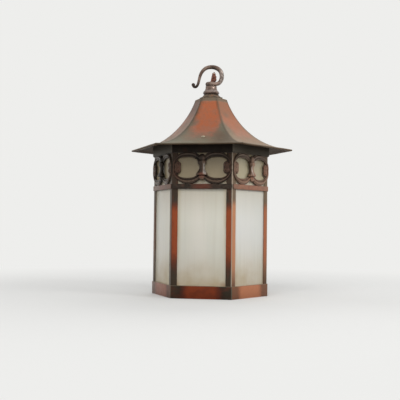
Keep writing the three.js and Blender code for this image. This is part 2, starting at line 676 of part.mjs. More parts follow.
function hook() {
  const line = hookLine();
  const eyeEdge = 0.3 * (EYE_RADIUS - BORE);
  const eye = asSolid(turnedRing([
    [BORE, EYE_LOW], [EYE_RADIUS - eyeEdge, EYE_LOW], [EYE_RADIUS, EYE_LOW + 0.3 * EYE_DEPTH],
    [EYE_RADIUS, EYE_LOW + 0.7 * EYE_DEPTH], [EYE_RADIUS - eyeEdge, EYE_TOP], [BORE, EYE_TOP],
  ]));
  const taper = (share) => Math.max(0, (share - 0.35) / 0.65);
  const radiusAt = (share) => THREE.MathUtils.lerp(HOOK_THICK, HOOK_TAPER, taper(share));
  const bore = new THREE.CylinderGeometry(BORE, BORE, 4 * EYE_DEPTH, ROUND_STEPS).rotateX(Math.PI / 2);
  const rod = asSolid(roundBar(line, radiusAt, HOOK_STEPS, HOOK_SIDES));
  const end = line.getPointAt(1);
  const ball = asSolid(new THREE.SphereGeometry(SCROLL_BALL, HOOK_SIDES, HOOK_SIDES / 2));
  const bored = eye.add(rod).subtract(asSolid(bore.translate(0, 0, EYE_LOW)));
  const floor = EYE_LOW - 4 * EYE_DEPTH;
  const below = asSolid(new THREE.CylinderGeometry(HUB_FLANGE, HUB_FLANGE, 4 * EYE_DEPTH, ROUND_STEPS)
    .rotateX(Math.PI / 2).translate(0, 0, floor + 2 * EYE_DEPTH));
  return asGeometry(bored.subtract(below).add(ball.translate([end.x, 0, end.z])));
}

function holderCap() {
  const rim = HOLDER_SHELL_RADIUS + SEAT_GAP + HOLDER_SKIN;
  const inside = rim - HOLDER_SKIN;
  const at = (share) => HOLDER_CAP_LOW + share * HOLDER_CAP_HEIGHT;
  return turnedRing([
    [inside, HOLDER_CAP_LOW], [rim, HOLDER_CAP_LOW], [rim, at(0.27)], [0.92 * rim, at(0.42)],
    [HOLDER_NECK, at(0.65)], [HOLDER_NECK, HOLDER_CAP_TOP], [BORE, HOLDER_CAP_TOP], [BORE, at(0.61)],
    [0.865 * rim, at(0.375)], [inside, at(0.25)],
  ], INNER_STEPS);
}

function holderShell() {
  const inside = HOLDER_SHELL_RADIUS - HOLDER_SKIN;
  const bead = HOLDER_SHELL_RADIUS + HOLDER_SKIN;
  return turnedRing([
    [inside, HOLDER_SHELL_LOW], [bead, HOLDER_SHELL_LOW], [bead, HOLDER_SHELL_LOW + HOLDER_BEAD],
    [HOLDER_SHELL_RADIUS, HOLDER_SHELL_LOW + 1.5 * HOLDER_BEAD], [HOLDER_SHELL_RADIUS, HOLDER_SHELL_TOP],
    [inside, HOLDER_SHELL_TOP],
  ], INNER_STEPS);
}

function insulatingSleeve() {
  const low = HOLDER_SHELL_LOW + SLEEVE_INSET;
  const high = PORCELAIN_LOW - SEAT_GAP;
  return turnedRing([
    [SLEEVE_IN, low], [SLEEVE_OUT, low], [SLEEVE_OUT, high], [SLEEVE_IN, high],
  ], INNER_STEPS);
}

function screwShell() {
  const low = HOLDER_SHELL_LOW + SCREW_SHELL_INSET;
  const high = PORCELAIN_LOW - SEAT_GAP;
  return turnedRing([
    [SCREW_SHELL_IN, low], [SCREW_SHELL_OUT, low], [SCREW_SHELL_OUT, high], [SCREW_SHELL_IN, high],
  ], INNER_STEPS);
}

function porcelainBase() {
  const edge = PORCELAIN_THICK / 4;
  return turned([
    [0, PORCELAIN_LOW], [SLEEVE_OUT, PORCELAIN_LOW], [SLEEVE_OUT, PORCELAIN_HIGH - edge],
    [SLEEVE_OUT - edge, PORCELAIN_HIGH], [0, PORCELAIN_HIGH],
  ], INNER_STEPS);
}

function centreContact() {
  return turned([
    [0, CONTACT_LOW], [CONTACT_RADIUS, CONTACT_LOW], [CONTACT_RADIUS, CONTACT_LOW + CONTACT_THICK],
    [0, CONTACT_LOW + CONTACT_THICK],
  ], INNER_STEPS);
}

function terminalScrew() {
  const shank = 0.6 * TERMINAL_RADIUS;
  const neck = TERMINAL_LOW + 0.5 * TERMINAL_HEIGHT;
  const top = TERMINAL_LOW + TERMINAL_HEIGHT;
  return turned([
    [0, TERMINAL_LOW], [shank, TERMINAL_LOW], [shank, neck], [TERMINAL_RADIUS, neck], [TERMINAL_RADIUS, top],
    [0, top],
  ], SCREW_STEPS);
}

function bulbGlass() {
  const neck = BULB_CAP_RADIUS - HOLDER_SKIN - SEAT_GAP;
  const top = BULB_CAP_LOW + BULB_TUCK;
  const tip = BULB_CAP_LOW - BULB_LENGTH;
  const middle = tip + BULB_RADIUS;
  const drop = (degrees, radius) => {
    const turn = THREE.MathUtils.degToRad(degrees);
    return [radius * Math.cos(turn), middle + radius * Math.sin(turn)];
  };
  const neckAt = (share) => BULB_CAP_LOW - share * (BULB_CAP_LOW - middle);
  const outer = [[0, tip], ...[-70, -48, -24, 0, 22].map((angle) => drop(angle, BULB_RADIUS))];
  outer.push([0.72 * BULB_RADIUS, neckAt(0.56)], [0.52 * BULB_RADIUS, neckAt(0.3)], [neck, neckAt(0.08)]);
  outer.push([neck, top]);
  const inner = outer.map(([radius, height]) => [Math.max(radius - BULB_WALL, 0), height]).reverse();
  inner[inner.length - 1] = [0, tip + BULB_WALL];
  return turned([...outer, ...inner], INNER_STEPS);
}

function bulbCap() {
  const inside = BULB_CAP_RADIUS - HOLDER_SKIN;
  const at = (share) => BULB_CAP_LOW + share * BULB_CAP_HEIGHT;
  return turned([
    [inside, BULB_CAP_LOW], [BULB_CAP_RADIUS, BULB_CAP_LOW], [BULB_CAP_RADIUS, at(0.85)],
    [0.6 * BULB_CAP_RADIUS, BULB_CAP_TOP], [0, BULB_CAP_TOP], [0, BULB_CAP_TOP - HOLDER_SKIN],
    [0.5 * BULB_CAP_RADIUS, BULB_CAP_TOP - HOLDER_SKIN], [inside, at(0.8)], [inside, BULB_CAP_LOW],
  ], INNER_STEPS);
}

function bulbFoot() {
  const low = BULB_CAP_TOP + SEAT_GAP;
  return turned([
    [0, low], [0.5 * BULB_CAP_RADIUS, low], [0.78 * CONTACT_RADIUS, BULB_FOOT_TOP], [0, BULB_FOOT_TOP],
  ], INNER_STEPS);
}

// Each lead rises from its terminal and twists round the other through the nipple. Above it the
// two swell and lean over, the second further and sooner than the first.
function lead(index) {
  const side = index ? 1 : -1;
  const low = TERMINAL_LOW + TERMINAL_HEIGHT + SEAT_GAP + LEAD_RADIUS;
  const high = LEAD_TOP - index * LEAD_STAGGER;
  const gathered = NIPPLE_LOW - SEAT_GAP;
  const points = [];
  for (let i = 0; i <= LEAD_STEPS; i += 1) {
    const height = low + (i / LEAD_STEPS) * (high - low);
    const splay = Math.max(0, (gathered - height) / (gathered - low));
    const loose = THREE.MathUtils.smoothstep(height - NIPPLE_TOP, 0, LEAD_BEND * (1 - 0.2 * side));
    const away = LEAD_TWIST + splay ** 2 * (TERMINAL_SPREAD - LEAD_TWIST);
    const turn = ((height - low) / LEAD_PITCH) * 2 * Math.PI * (1 - splay) + index * Math.PI;
    const twisted = new THREE.Vector3(away * Math.cos(turn), away * Math.sin(turn), height);
    const leant = new THREE.Vector3(LEAD_LEAN + side * LEAD_SPREAD, 0, height);
    points.push(twisted.lerp(leant, loose));
  }
  const line = new THREE.CatmullRomCurve3(points, false, 'centripetal');
  const radiusAt = (share) => {
    const above = line.getPointAt(share).z - NIPPLE_TOP;
    return LEAD_RADIUS + LEAD_SWELL * THREE.MathUtils.smoothstep(above, 0.25 * LEAD_BEND, LEAD_BEND);
  };
  return roundBar(line, radiusAt, LEAD_STEPS, LEAD_SIDES);
}

// Assembly
const lantern = new THREE.Group();

function place(name, geometry, material, turn = 0) {
  const mesh = new THREE.Mesh(geometry, material);
  mesh.name = name;
  mesh.rotation.z = turn;
  lantern.add(mesh);
  return mesh;
}

place('base_band', baseBand(), copper);
place('top_collar', topCollar(), darkCopper);
const panel = friezePanel();
const pane = glassPane();
const post = cornerPost();
const clip = glassClip();
const FIRST_CORNER = HALF_SECTOR - Math.PI / 2;
for (let i = 0; i < SIDES; i += 1) {
  place(`frieze_${i + 1}`, panel, castCopper, i * SECTOR);
  place(`glass_pane_${i + 1}`, pane, opalGlass, i * SECTOR);
  place(`corner_post_${i + 1}`, post, darkCopper, FIRST_CORNER + i * SECTOR);
  place(`glass_clip_${i + 1}`, clip, copper, FIRST_CORNER + i * SECTOR);
}

place('roof', roofShell(), copper);
const bracket = roofBracket();
const screw = roofScrew();
fixedFaces().forEach((face, i) => {
  place(`roof_bracket_${i + 1}`, bracket, copper, face * SECTOR);
  place(`roof_screw_${i + 1}`, screw, bronze, face * SECTOR);
});

place('roof_cap', roofCap(), patina);
place('hub', hub(), bronze);
place('hook', hook(), bronze);
place('nipple', nipple(), brass);
place('roof_washer', washer(), brass);
place('lock_nut', lockNut(), brass);

place('holder_cap', holderCap(), brass);
place('holder_shell', holderShell(), brass);
place('insulating_sleeve', insulatingSleeve(), fibre);
place('screw_shell', screwShell(), brass);
place('porcelain_base', porcelainBase(), porcelain);
place('centre_contact', centreContact(), brass);
for (const [i, side] of [1, -1].entries()) {
  place(`terminal_screw_${i + 1}`, terminalScrew(), brass).position.x = side * TERMINAL_SPREAD;
  place(`lead_${i + 1}`, lead(i), rustCloth);
}

place('bulb_glass', bulbGlass(), frostedGlass);
place('bulb_cap', bulbCap(), brass);
place('bulb_foot', bulbFoot(), porcelain);

export default lantern;
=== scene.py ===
"""Visual model of a hexagonal copper lantern that hangs by a scroll hook.

Six opal panes stand behind copper corner posts, under a pierced frieze and a flared roof.
All sizes are in millimetres until a shape is finished, which puts it in metres.
"""

from __future__ import annotations

import json
import logging
import math
from abc import ABC, abstractmethod
from collections.abc import Callable, Iterable, Sequence
from dataclasses import dataclass
from enum import Enum
from functools import cached_property

import bmesh
import bpy
from mathutils import Matrix, Vector, geometry, noise

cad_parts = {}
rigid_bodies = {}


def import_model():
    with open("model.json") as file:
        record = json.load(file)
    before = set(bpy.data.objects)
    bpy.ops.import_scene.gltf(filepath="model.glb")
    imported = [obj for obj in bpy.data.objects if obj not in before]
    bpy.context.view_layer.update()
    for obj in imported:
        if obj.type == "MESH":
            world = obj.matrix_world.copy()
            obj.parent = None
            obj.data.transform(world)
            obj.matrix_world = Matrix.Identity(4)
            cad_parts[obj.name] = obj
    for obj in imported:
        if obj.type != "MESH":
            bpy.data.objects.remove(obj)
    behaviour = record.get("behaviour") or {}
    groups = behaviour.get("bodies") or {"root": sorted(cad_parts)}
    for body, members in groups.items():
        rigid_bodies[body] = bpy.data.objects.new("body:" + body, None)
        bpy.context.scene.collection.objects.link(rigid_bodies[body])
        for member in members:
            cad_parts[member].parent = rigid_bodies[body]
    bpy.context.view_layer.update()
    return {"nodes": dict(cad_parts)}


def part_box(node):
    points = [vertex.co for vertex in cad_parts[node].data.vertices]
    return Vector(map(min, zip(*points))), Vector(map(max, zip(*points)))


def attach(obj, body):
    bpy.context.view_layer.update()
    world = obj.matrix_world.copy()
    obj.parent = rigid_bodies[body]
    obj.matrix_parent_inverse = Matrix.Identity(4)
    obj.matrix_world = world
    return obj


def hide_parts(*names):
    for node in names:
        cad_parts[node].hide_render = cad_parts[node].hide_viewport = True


log = logging.getLogger("lantern")

MM = 0.001
SIDES = 6
HALF_SECTOR = math.pi / SIDES
SECTOR = 2 * HALF_SECTOR
MERGE = 1e-4  # points closer than this, in millimetres, are one
LIFT = 0.3  # clearance between pieces that touch
DOME_STEPS = 3.4  # steps of a round end, which stops short of its tip
FRONT, LEFT, RIGHT = -90.0, -150.0, -30.0  # where the faces that show look, in degrees
WHITE = (1.0, 1.0, 1.0, 1.0)
SKIN_INPUTS = {
    "colour": "Base Color", "metallic": "Metallic", "roughness": "Roughness",
    "gloss": "Specular IOR Level", "sheen": "Sheen Weight", "ior": "IOR",
    "subsurface": "Subsurface Weight", "subsurface_radius": "Subsurface Radius",
    "subsurface_scale": "Subsurface Scale",
}

Point = tuple[float, float]
Triple = tuple[float, float, float]
Colour = tuple[float, float, float, float]
Spot = tuple[float, float, float, float]  # a place and how far it reaches, in millimetres
Socket = bpy.types.NodeSocket


def rgb(red: int, green: int, blue: int) -> Colour:
    """Gives a colour written from 0 to 255 as the linear one that a shader takes.

    Args:
        red: Red, from 0 to 255.
        green: Green, from 0 to 255.
        blue: Blue, from 0 to 255.

    Returns:
        The linear colour, opaque.
    """

    def linear(level: int) -> float:
        share = level / 255
        return share / 12.92 if share <= 0.04045 else ((share + 0.055) / 1.055) ** 2.4

    return (linear(red), linear(green), linear(blue), 1.0)


def corner_of(apothem: float) -> float:
    """Gives the distance of a hexagon's corner from the distance of its face."""
    return apothem / math.cos(HALF_SECTOR)


def half_side(apothem: float) -> float:
    """Gives half of a hexagon's side from the distance of its face."""
    return apothem * math.tan(HALF_SECTOR)


def smooth(share: float) -> float:
    """Goes softly from 0 to 1."""
    share = min(max(share, 0.0), 1.0)
    return share * share * (3.0 - 2.0 * share)


def curve_through(points: Sequence[Vector], steps: int) -> list[Vector]:
    """Runs a smooth curve through points.

    Args:
        points: The points that it passes.
        steps: Pieces between one point and the next.

    Returns:
        Points along the curve, the given ones among them.
    """
    ends = [2 * points[0] - points[1], *points, 2 * points[-1] - points[-2]]
    line = [points[0].copy()]
    for before, start, end, after in zip(ends, ends[1:], ends[2:], ends[3:]):
        lead_out = start + (end - before) / 6
        lead_in = end - (after - start) / 6
        line.extend(geometry.interpolate_bezier(start, lead_out, lead_in, end, steps + 1)[1:])
    return line


def profile_through(points: Sequence[Point], steps: int) -> list[Point]:
    """Runs a smooth profile of radius and height through points."""
    line = curve_through([Vector((radius, 0.0, height)) for radius, height in points], steps)
    return [(point.x, point.z) for point in line]


class Body(Enum):
    """The bodies that a piece can ride on."""

    LANTERN = "lantern"
    HOOK = "hook"


class Joining(Enum):
    """What a second shape does to the first."""

    ADD = "UNION"
    CUT = "DIFFERENCE"
    KEEP = "INTERSECT"


class Shape:
    """A mesh in the making, in millimetres."""

    def __init__(self) -> None:
        """Starts empty."""
        self.mesh = bmesh.new()

    def spun(self, profile: Sequence[Point], steps: int = 64, closed: bool = False) -> Shape:
        """Spins a profile of radius and height about the vertical axis.

        Args:
            profile: Points from one end of the profile to the other.
            steps: Facets in the full turn.
            closed: Whether the last point joins the first.

        Returns:
            The shape itself.
        """
        points = [self.mesh.verts.new((radius, 0.0, height)) for radius, height in profile]
        pairs = list(zip(points, points[1:]))
        if closed:
            pairs.append((points[-1], points[0]))
        edges = [self.mesh.edges.new(pair) for pair in pairs]
        bmesh.ops.spin(
            self.mesh, geom=points + edges, cent=(0, 0, 0), axis=(0, 0, 1),
            angle=2 * math.pi, steps=steps, use_merge=True,
        )
        bmesh.ops.remove_doubles(self.mesh, verts=self.mesh.verts, dist=MERGE)
        return self

    def six_sided(self, profile: Sequence[Point]) -> Shape:
        """Spins a closed profile of apothem and height in six steps, with a corner on +X."""
        return self.spun([(corner_of(apothem), height) for apothem, height in profile], SIDES, True)

    def block(self, size: Vector, centre: Vector) -> Shape:
        """Adds a box of a size about a centre."""
        place = Matrix.Translation(centre) @ Matrix.Diagonal((*size, 1.0))
        bmesh.ops.create_cube(self.mesh, size=1.0, matrix=place)
        return self

    def ball(self, radius: float, centre: Vector, steps: int = 24) -> Shape:
        """Adds a ball about a centre."""
        bmesh.ops.create_uvsphere(
            self.mesh, u_segments=steps, v_segments=steps // 2, radius=radius,
            matrix=Matrix.Translation(centre),
        )
        return self

    def prism(self, outline: Sequence[Point], low: float, high: float) -> Shape:
        """Raises an outline, seen from above, between two heights."""
        corners = [self.mesh.verts.new((x, y, low)) for x, y in outline]
        floor = self.mesh.faces.new(corners)
        raised = bmesh.ops.extrude_face_region(self.mesh, geom=[floor], use_keep_orig=True)
        top = [part for part in raised["geom"] if isinstance(part, bmesh.types.BMVert)]
        bmesh.ops.translate(self.mesh, verts=top, vec=(0, 0, high - low))
        return self

    def swept(
        self, path: Sequence[Vector], radius: Callable[[float], float],
        sides: int = 16, domed: bool = True,
    ) -> Shape:
        """Carries a round rim along a path and closes both ends.

        Args:
            path: Points along the middle.
            radius: The rim's radius, from the share of the way along.
            sides: Facets round the rim.
            domed: Whether the ends are round.

        Returns:
            The shape itself.
        """
        stations = [(point, radius(i / (len(path) - 1))) for i, point in enumerate(path)]
        if domed:
            stations = self._dome(stations, -1) + stations + self._dome(stations, 1)
        aim = (stations[1][0] - stations[0][0]).normalized()
        turn = aim.to_track_quat("Z", "Y")
        ring = bmesh.ops.create_circle(self.mesh, segments=sides, radius=1.0)["verts"]
        edges = list({edge for vert in ring for edge in vert.link_edges})
        ends = [edges]
        before = Matrix.Identity(4)
        for i, (point, size) in enumerate(stations):
            if i:
                grown = bmesh.ops.extrude_edge_only(self.mesh, edges=edges)["geom"]
                ring = [part for part in grown if isinstance(part, bmesh.types.BMVert)]
                edges = [part for part in grown if isinstance(part, bmesh.types.BMEdge)]
                behind = stations[i - 1][0]
                ahead = stations[min(i + 1, len(stations) - 1)][0]
                new_aim = (ahead - behind).normalized()
                turn = aim.rotation_difference(new_aim) @ turn
                aim = new_aim
            now = Matrix.LocRotScale(point, turn, Vector((size, size, size)))
            bmesh.ops.transform(self.mesh, matrix=now @ before.inverted(), verts=ring)
            before = now
        ends.append(edges)
        for end in ends:
            bmesh.ops.contextual_create(self.mesh, geom=end)
        return self

    @staticmethod
    def _dome(stations: list[tuple[Vector, float]], way: int) -> list[tuple[Vector, float]]:
        """Gives the stations that round off one end."""
        end, inner = (stations[-1], stations[-2]) if way > 0 else (stations[0], stations[1])
        out = (end[0] - inner[0]).normalized()
        dome = []
        for step in (1, 2, 3):
            turn = step / DOME_STEPS * math.pi / 2
            dome.append((end[0] + out * end[1] * math.sin(turn), end[1] * math.cos(turn)))
        return dome if way > 0 else dome[::-1]

    def moved(self, matrix: Matrix) -> Shape:
        """Moves, turns or scales all of the shape."""
        bmesh.ops.transform(self.mesh, matrix=matrix, verts=self.mesh.verts)
        return self

    def copied(self, matrix: Matrix) -> Shape:
        """Gives a copy of the shape in another place."""
        twin = Shape()
        twin.mesh = self.mesh.copy()
        return twin.moved(matrix)

    def softened(self, width: float, segments: int = 2, angle: float = 35.0) -> Shape:
        """Rounds every edge that is sharper than an angle.

        Args:
            width: Width of the rounding.
            segments: Facets across it.
            angle: Edges that turn by more than this are rounded, in degrees.

        Returns:
            The shape itself.
        """
        bmesh.ops.recalc_face_normals(self.mesh, faces=self.mesh.faces)
        sharp = [
            edge for edge in self.mesh.edges
            if len(edge.link_faces) == 2 and edge.calc_face_angle() > math.radians(angle)
        ]
        bmesh.ops.bevel(
            self.mesh, geom=sharp, offset=width, offset_type="OFFSET", segments=segments,
            profile=0.5, affect="EDGES", clamp_overlap=True, material=-1,
        )
        return self

    def joined(self, way: Joining, others: Iterable[Shape]) -> Shape:
        """Adds, cuts or keeps by other closed shapes.

        Args:
            way: What each of them does.
            others: The closed shapes.

        Returns:
            A new shape.
        """
        shapes = [self, *others]
        for shape in shapes:
            shape._clean(MERGE)
        base, *tools = [shape._as_object("part") for shape in shapes]
        for tool in tools:
            change = base.modifiers.new(tool.name, "BOOLEAN")
            change.operation = way.value
            change.solver = "MANIFOLD"
            change.object = tool
        graph = bpy.context.evaluated_depsgraph_get()
        result = Shape()
        result.mesh.from_mesh(base.evaluated_get(graph).to_mesh())
        for spent in (base, *tools):
            data = spent.data
            bpy.data.objects.remove(spent)
            bpy.data.meshes.remove(data)
        return result

    def _clean(self, merge: float) -> None:
        """Makes one point of those that lie together, and turns the faces outwards."""
        bmesh.ops.remove_doubles(self.mesh, verts=self.mesh.verts, dist=merge)
        bmesh.ops.recalc_face_normals(self.mesh, faces=self.mesh.faces)

    def _as_object(self, name: str) -> bpy.types.Object:
        """Puts the mesh in an object of its own."""
        data = bpy.data.meshes.new(name)
        self.mesh.to_mesh(data)
        piece = bpy.data.objects.new(name, data)
        bpy.context.scene.collection.objects.link(piece)
        return piece

    def finished(self, name: str, crease: float = 32.0) -> bpy.types.Object:
        """Turns the shape into an object in metres, smooth but for its creases.

        Args:
            name: The object's name.
            crease: Edges that turn by more than this stay sharp, in degrees.

        Returns:
            The new object.
        """
        self.moved(Matrix.Scale(MM, 4))
        self._clean(MERGE * MM)
        for face in self.mesh.faces:
            face.smooth = True
        for edge in self.mesh.edges:
            edge.smooth = edge.calc_face_angle(0.0) < math.radians(crease)
        piece = self._as_object(name)
        self.mesh.free()
        return piece


class Nodes:
    """Writes nodes into a tree."""

    def __init__(self, tree: bpy.types.NodeTree) -> None:
        """Keeps the tree."""
        self.tree = tree

    def feed(self, socket: Socket, value: Value) -> None:
        """Links a socket to a value that varies, or sets it to one that doesn't."""
        if isinstance(value, Field):
            self.tree.links.new(value.socket, socket)
        else:
            socket.default_value = value

    def made(
        self, kind: str, output: str | int, inputs: dict[str | int, Value] | None = None,
        **settings: object,
    ) -> Field:
        """Adds a node and gives one of its outputs.

        Args:
            kind: The node's type, without the prefix that all of them share.
            output: Name or number of the output.
            inputs: What its inputs, by name or number, are linked or set to.
            settings: The node's own properties.

        Returns:
            The output.
        """
        node = self.tree.nodes.new(f"ShaderNode{kind}")
        for key, value in settings.items():
            setattr(node, key, value)
        for key, value in (inputs or {}).items():
            self.feed(node.inputs[key], value)
        return Field(self, node.outputs[output])


class Field:
    """A value that varies over a surface, written as nodes while it is worked out."""

    def __init__(self, nodes: Nodes, socket: Socket) -> None:
        """Keeps the socket that gives the value, and what writes the nodes."""
        self.nodes = nodes
        self.socket = socket

    def math(self, operation: str, *others: Value) -> Field:
        """Works out one piece of arithmetic with other values."""
        inputs = dict(enumerate((self, *others)))
        return self.nodes.made("Math", 0, inputs, operation=operation)

    def __add__(self, other: Value) -> Field:
        """Adds a value."""
        return self.math("ADD", other)

    def __sub__(self, other: Value) -> Field:
        """Takes a value away."""
        return self.math("SUBTRACT", other)

    def __mul__(self, other: Value) -> Field:
        """Multiplies by a value."""
        return self.math("MULTIPLY", other)

    def scaled(self, share: float, start: float) -> Field:
        """Multiplies by a share and starts higher."""
        return self.math("MULTIPLY_ADD", share, start)

    def swing(self, amount: float) -> Field:
        """Turns a pattern about 0.5 into one about 0, of a given strength."""
        return (self - 0.5) * amount

    def rise(self, low: float, high: float) -> Field:
        """Goes smoothly from 0 at one value to 1 at another, which can be the lower one."""
        falls = low > high
        return self.nodes.made("MapRange", "Result", {
            "Value": self, "From Min": min(low, high), "From Max": max(low, high),
            "To Min": float(falls), "To Max": float(not falls),
        }, interpolation_type="SMOOTHSTEP")


Value = Field | float | Triple | Colour


@dataclass(frozen=True)
class FacePlace:
    """Where a point lies on the hexagon, in metres."""

    across: Field  # distance from the middle of its face
    out: Field  # distance from the axis, square to its face
    edge: Field  # distance from its face's corner


class Painter(Nodes):
    """Writes the nodes of one material, coat by coat."""

    def __init__(self, name: str) -> None:
        """Starts a material with its shader and the object's own coordinates."""
        self.material = bpy.data.materials.new(name)
        self.material.use_nodes = True
        super().__init__(self.material.node_tree)
        self.skin = self.tree.nodes["Principled BSDF"]
        self.place = self.made("TexCoord", "Object")
        self.colour: Value = WHITE

    @cached_property
    def axes(self) -> tuple[Field, ...]:
        """Gives the coordinates of the place."""
        parts = self.made("SeparateXYZ", 0, {0: self.place})
        return tuple(Field(self, socket) for socket in parts.socket.node.outputs)

    @cached_property
    def face(self) -> FacePlace:
        """Works out where on the hexagon a point lies."""
        x, y, _ = self.axes
        aside = y.math("ARCTAN2", x).math("PINGPONG", HALF_SECTOR).scaled(-1.0, HALF_SECTOR)
        radius = (x * x + y * y).math("SQRT")
        out = radius * aside.math("COSINE")
        across = radius * aside.math("SINE")
        return FacePlace(across, out, out * math.tan(HALF_SECTOR) - across)

    def cloud(
        self, size: float, detail: float = 3.0, shift: float = 0.0,
        stretch: Triple = (1.0, 1.0, 1.0), roughness: float = 0.5,
    ) -> Field:
        """Gives a soft random pattern.

        Args:
            size: Size of its patches, in millimetres.
            detail: Finer levels in it.
            shift: Which part of the pattern is used.
            stretch: How much faster it changes along each axis.
            roughness: How strong the finer levels are.

        Returns:
            A value about 0.5.
        """
        place = self.made("Mapping", "Vector", {
            "Vector": self.place, "Scale": stretch, "Location": (shift, shift, shift),
        })
        return self.made("TexNoise", "Fac", {
            "Vector": place, "Scale": 1 / (size * MM), "Detail": detail, "Roughness": roughness,
        })

    def along(self, angle: float) -> Field:
        """Gives how far a point lies along a level direction, its angle in degrees."""
        turn = math.radians(angle)
        return self.axes[0] * math.cos(turn) + self.axes[1] * math.sin(turn)

    def facing(self, angle: float) -> Field:
        """Gives 1 on the face of the hexagon that looks along an angle, in degrees."""
        return (self.along(angle) - self.face.out).rise(-0.0012, -0.0002)

    def beside(self, height: float, reach: float) -> Field:
        """Gives 1 on the middle of a face at a height and 0 beyond a reach, in millimetres."""
        across, above = self.face.across, self.axes[2] - height * MM
        away = (across * across + above * above).math("SQRT")
        return away.rise(reach * MM, 0.55 * reach * MM)

    def near(self, x: float, y: float, height: float, reach: float) -> Field:
        """Gives 1 at a point and 0 beyond its reach, both in millimetres."""
        centre = (x * MM, y * MM, height * MM)
        away = self.made("VectorMath", "Value", {0: self.place, 1: centre}, operation="DISTANCE")
        return away.rise(reach * MM, 0.2 * reach * MM)

    def crevice(self, reach: float) -> Field:
        """Gives how open a point lies, from 0 deep in a crevice to 1, reach in millimetres."""
        return self.made("AmbientOcclusion", "AO", {"Distance": reach * MM}, samples=6)

    def blend(self, share: Value, first: Value, second: Value) -> Field:
        """Goes from one colour to another."""
        return self.made("Mix", 2, {"Factor": share, 6: first, 7: second}, data_type="RGBA")

    def shades(self, share: Field, *stops: tuple[float, Colour]) -> None:
        """Starts the colour with a run through several tones."""
        self.colour = self.made("ValToRGB", "Color", {"Fac": share})
        bands = self.colour.socket.node.color_ramp.elements
        while len(bands) < len(stops):
            bands.new(0.5)
        for band, (at, tone) in zip(bands, stops):
            band.position = at
            band.color = tone

    def coat(self, tone: Value, share: Field) -> None:
        """Lays a tone over the colour so far."""
        self.colour = self.blend(share, self.colour, tone)

    def shine(self, metallic: Value = 0.0, roughness: Value = 0.5, **others: Value) -> None:
        """Gives the shader its colour and its other values.

        Args:
            metallic: How metallic it is.
            roughness: How rough it is.
            others: Further inputs of the shader, by the names in SKIN_INPUTS.
        """
        values = {"colour": self.colour, "metallic": metallic, "roughness": roughness, **others}
        for name, value in values.items():
            self.feed(self.skin.inputs[SKIN_INPUTS[name]], value)

    def relief(self, height: Field, depth: float, strength: float = 0.6) -> None:
        """Lifts the surface in the light only, by a depth in millimetres."""
        self.feed(self.skin.inputs["Normal"], self.made("Bump", "Normal", {
            "Strength": strength, "Distance": depth * MM, "Height": height,
        }))


class Finish(ABC):
    """A finish that becomes one material."""

    title: str

    def material(self) -> bpy.types.Material:
        """Gives the material, made once."""
        known = bpy.data.materials.get(self.title)
        if known:
            return known
        painter = Painter(self.title)
        self.paint(painter)
        return painter.material

    @abstractmethod
    def paint(self, painter: Painter) -> None:
        """Writes the finish into a material's nodes."""


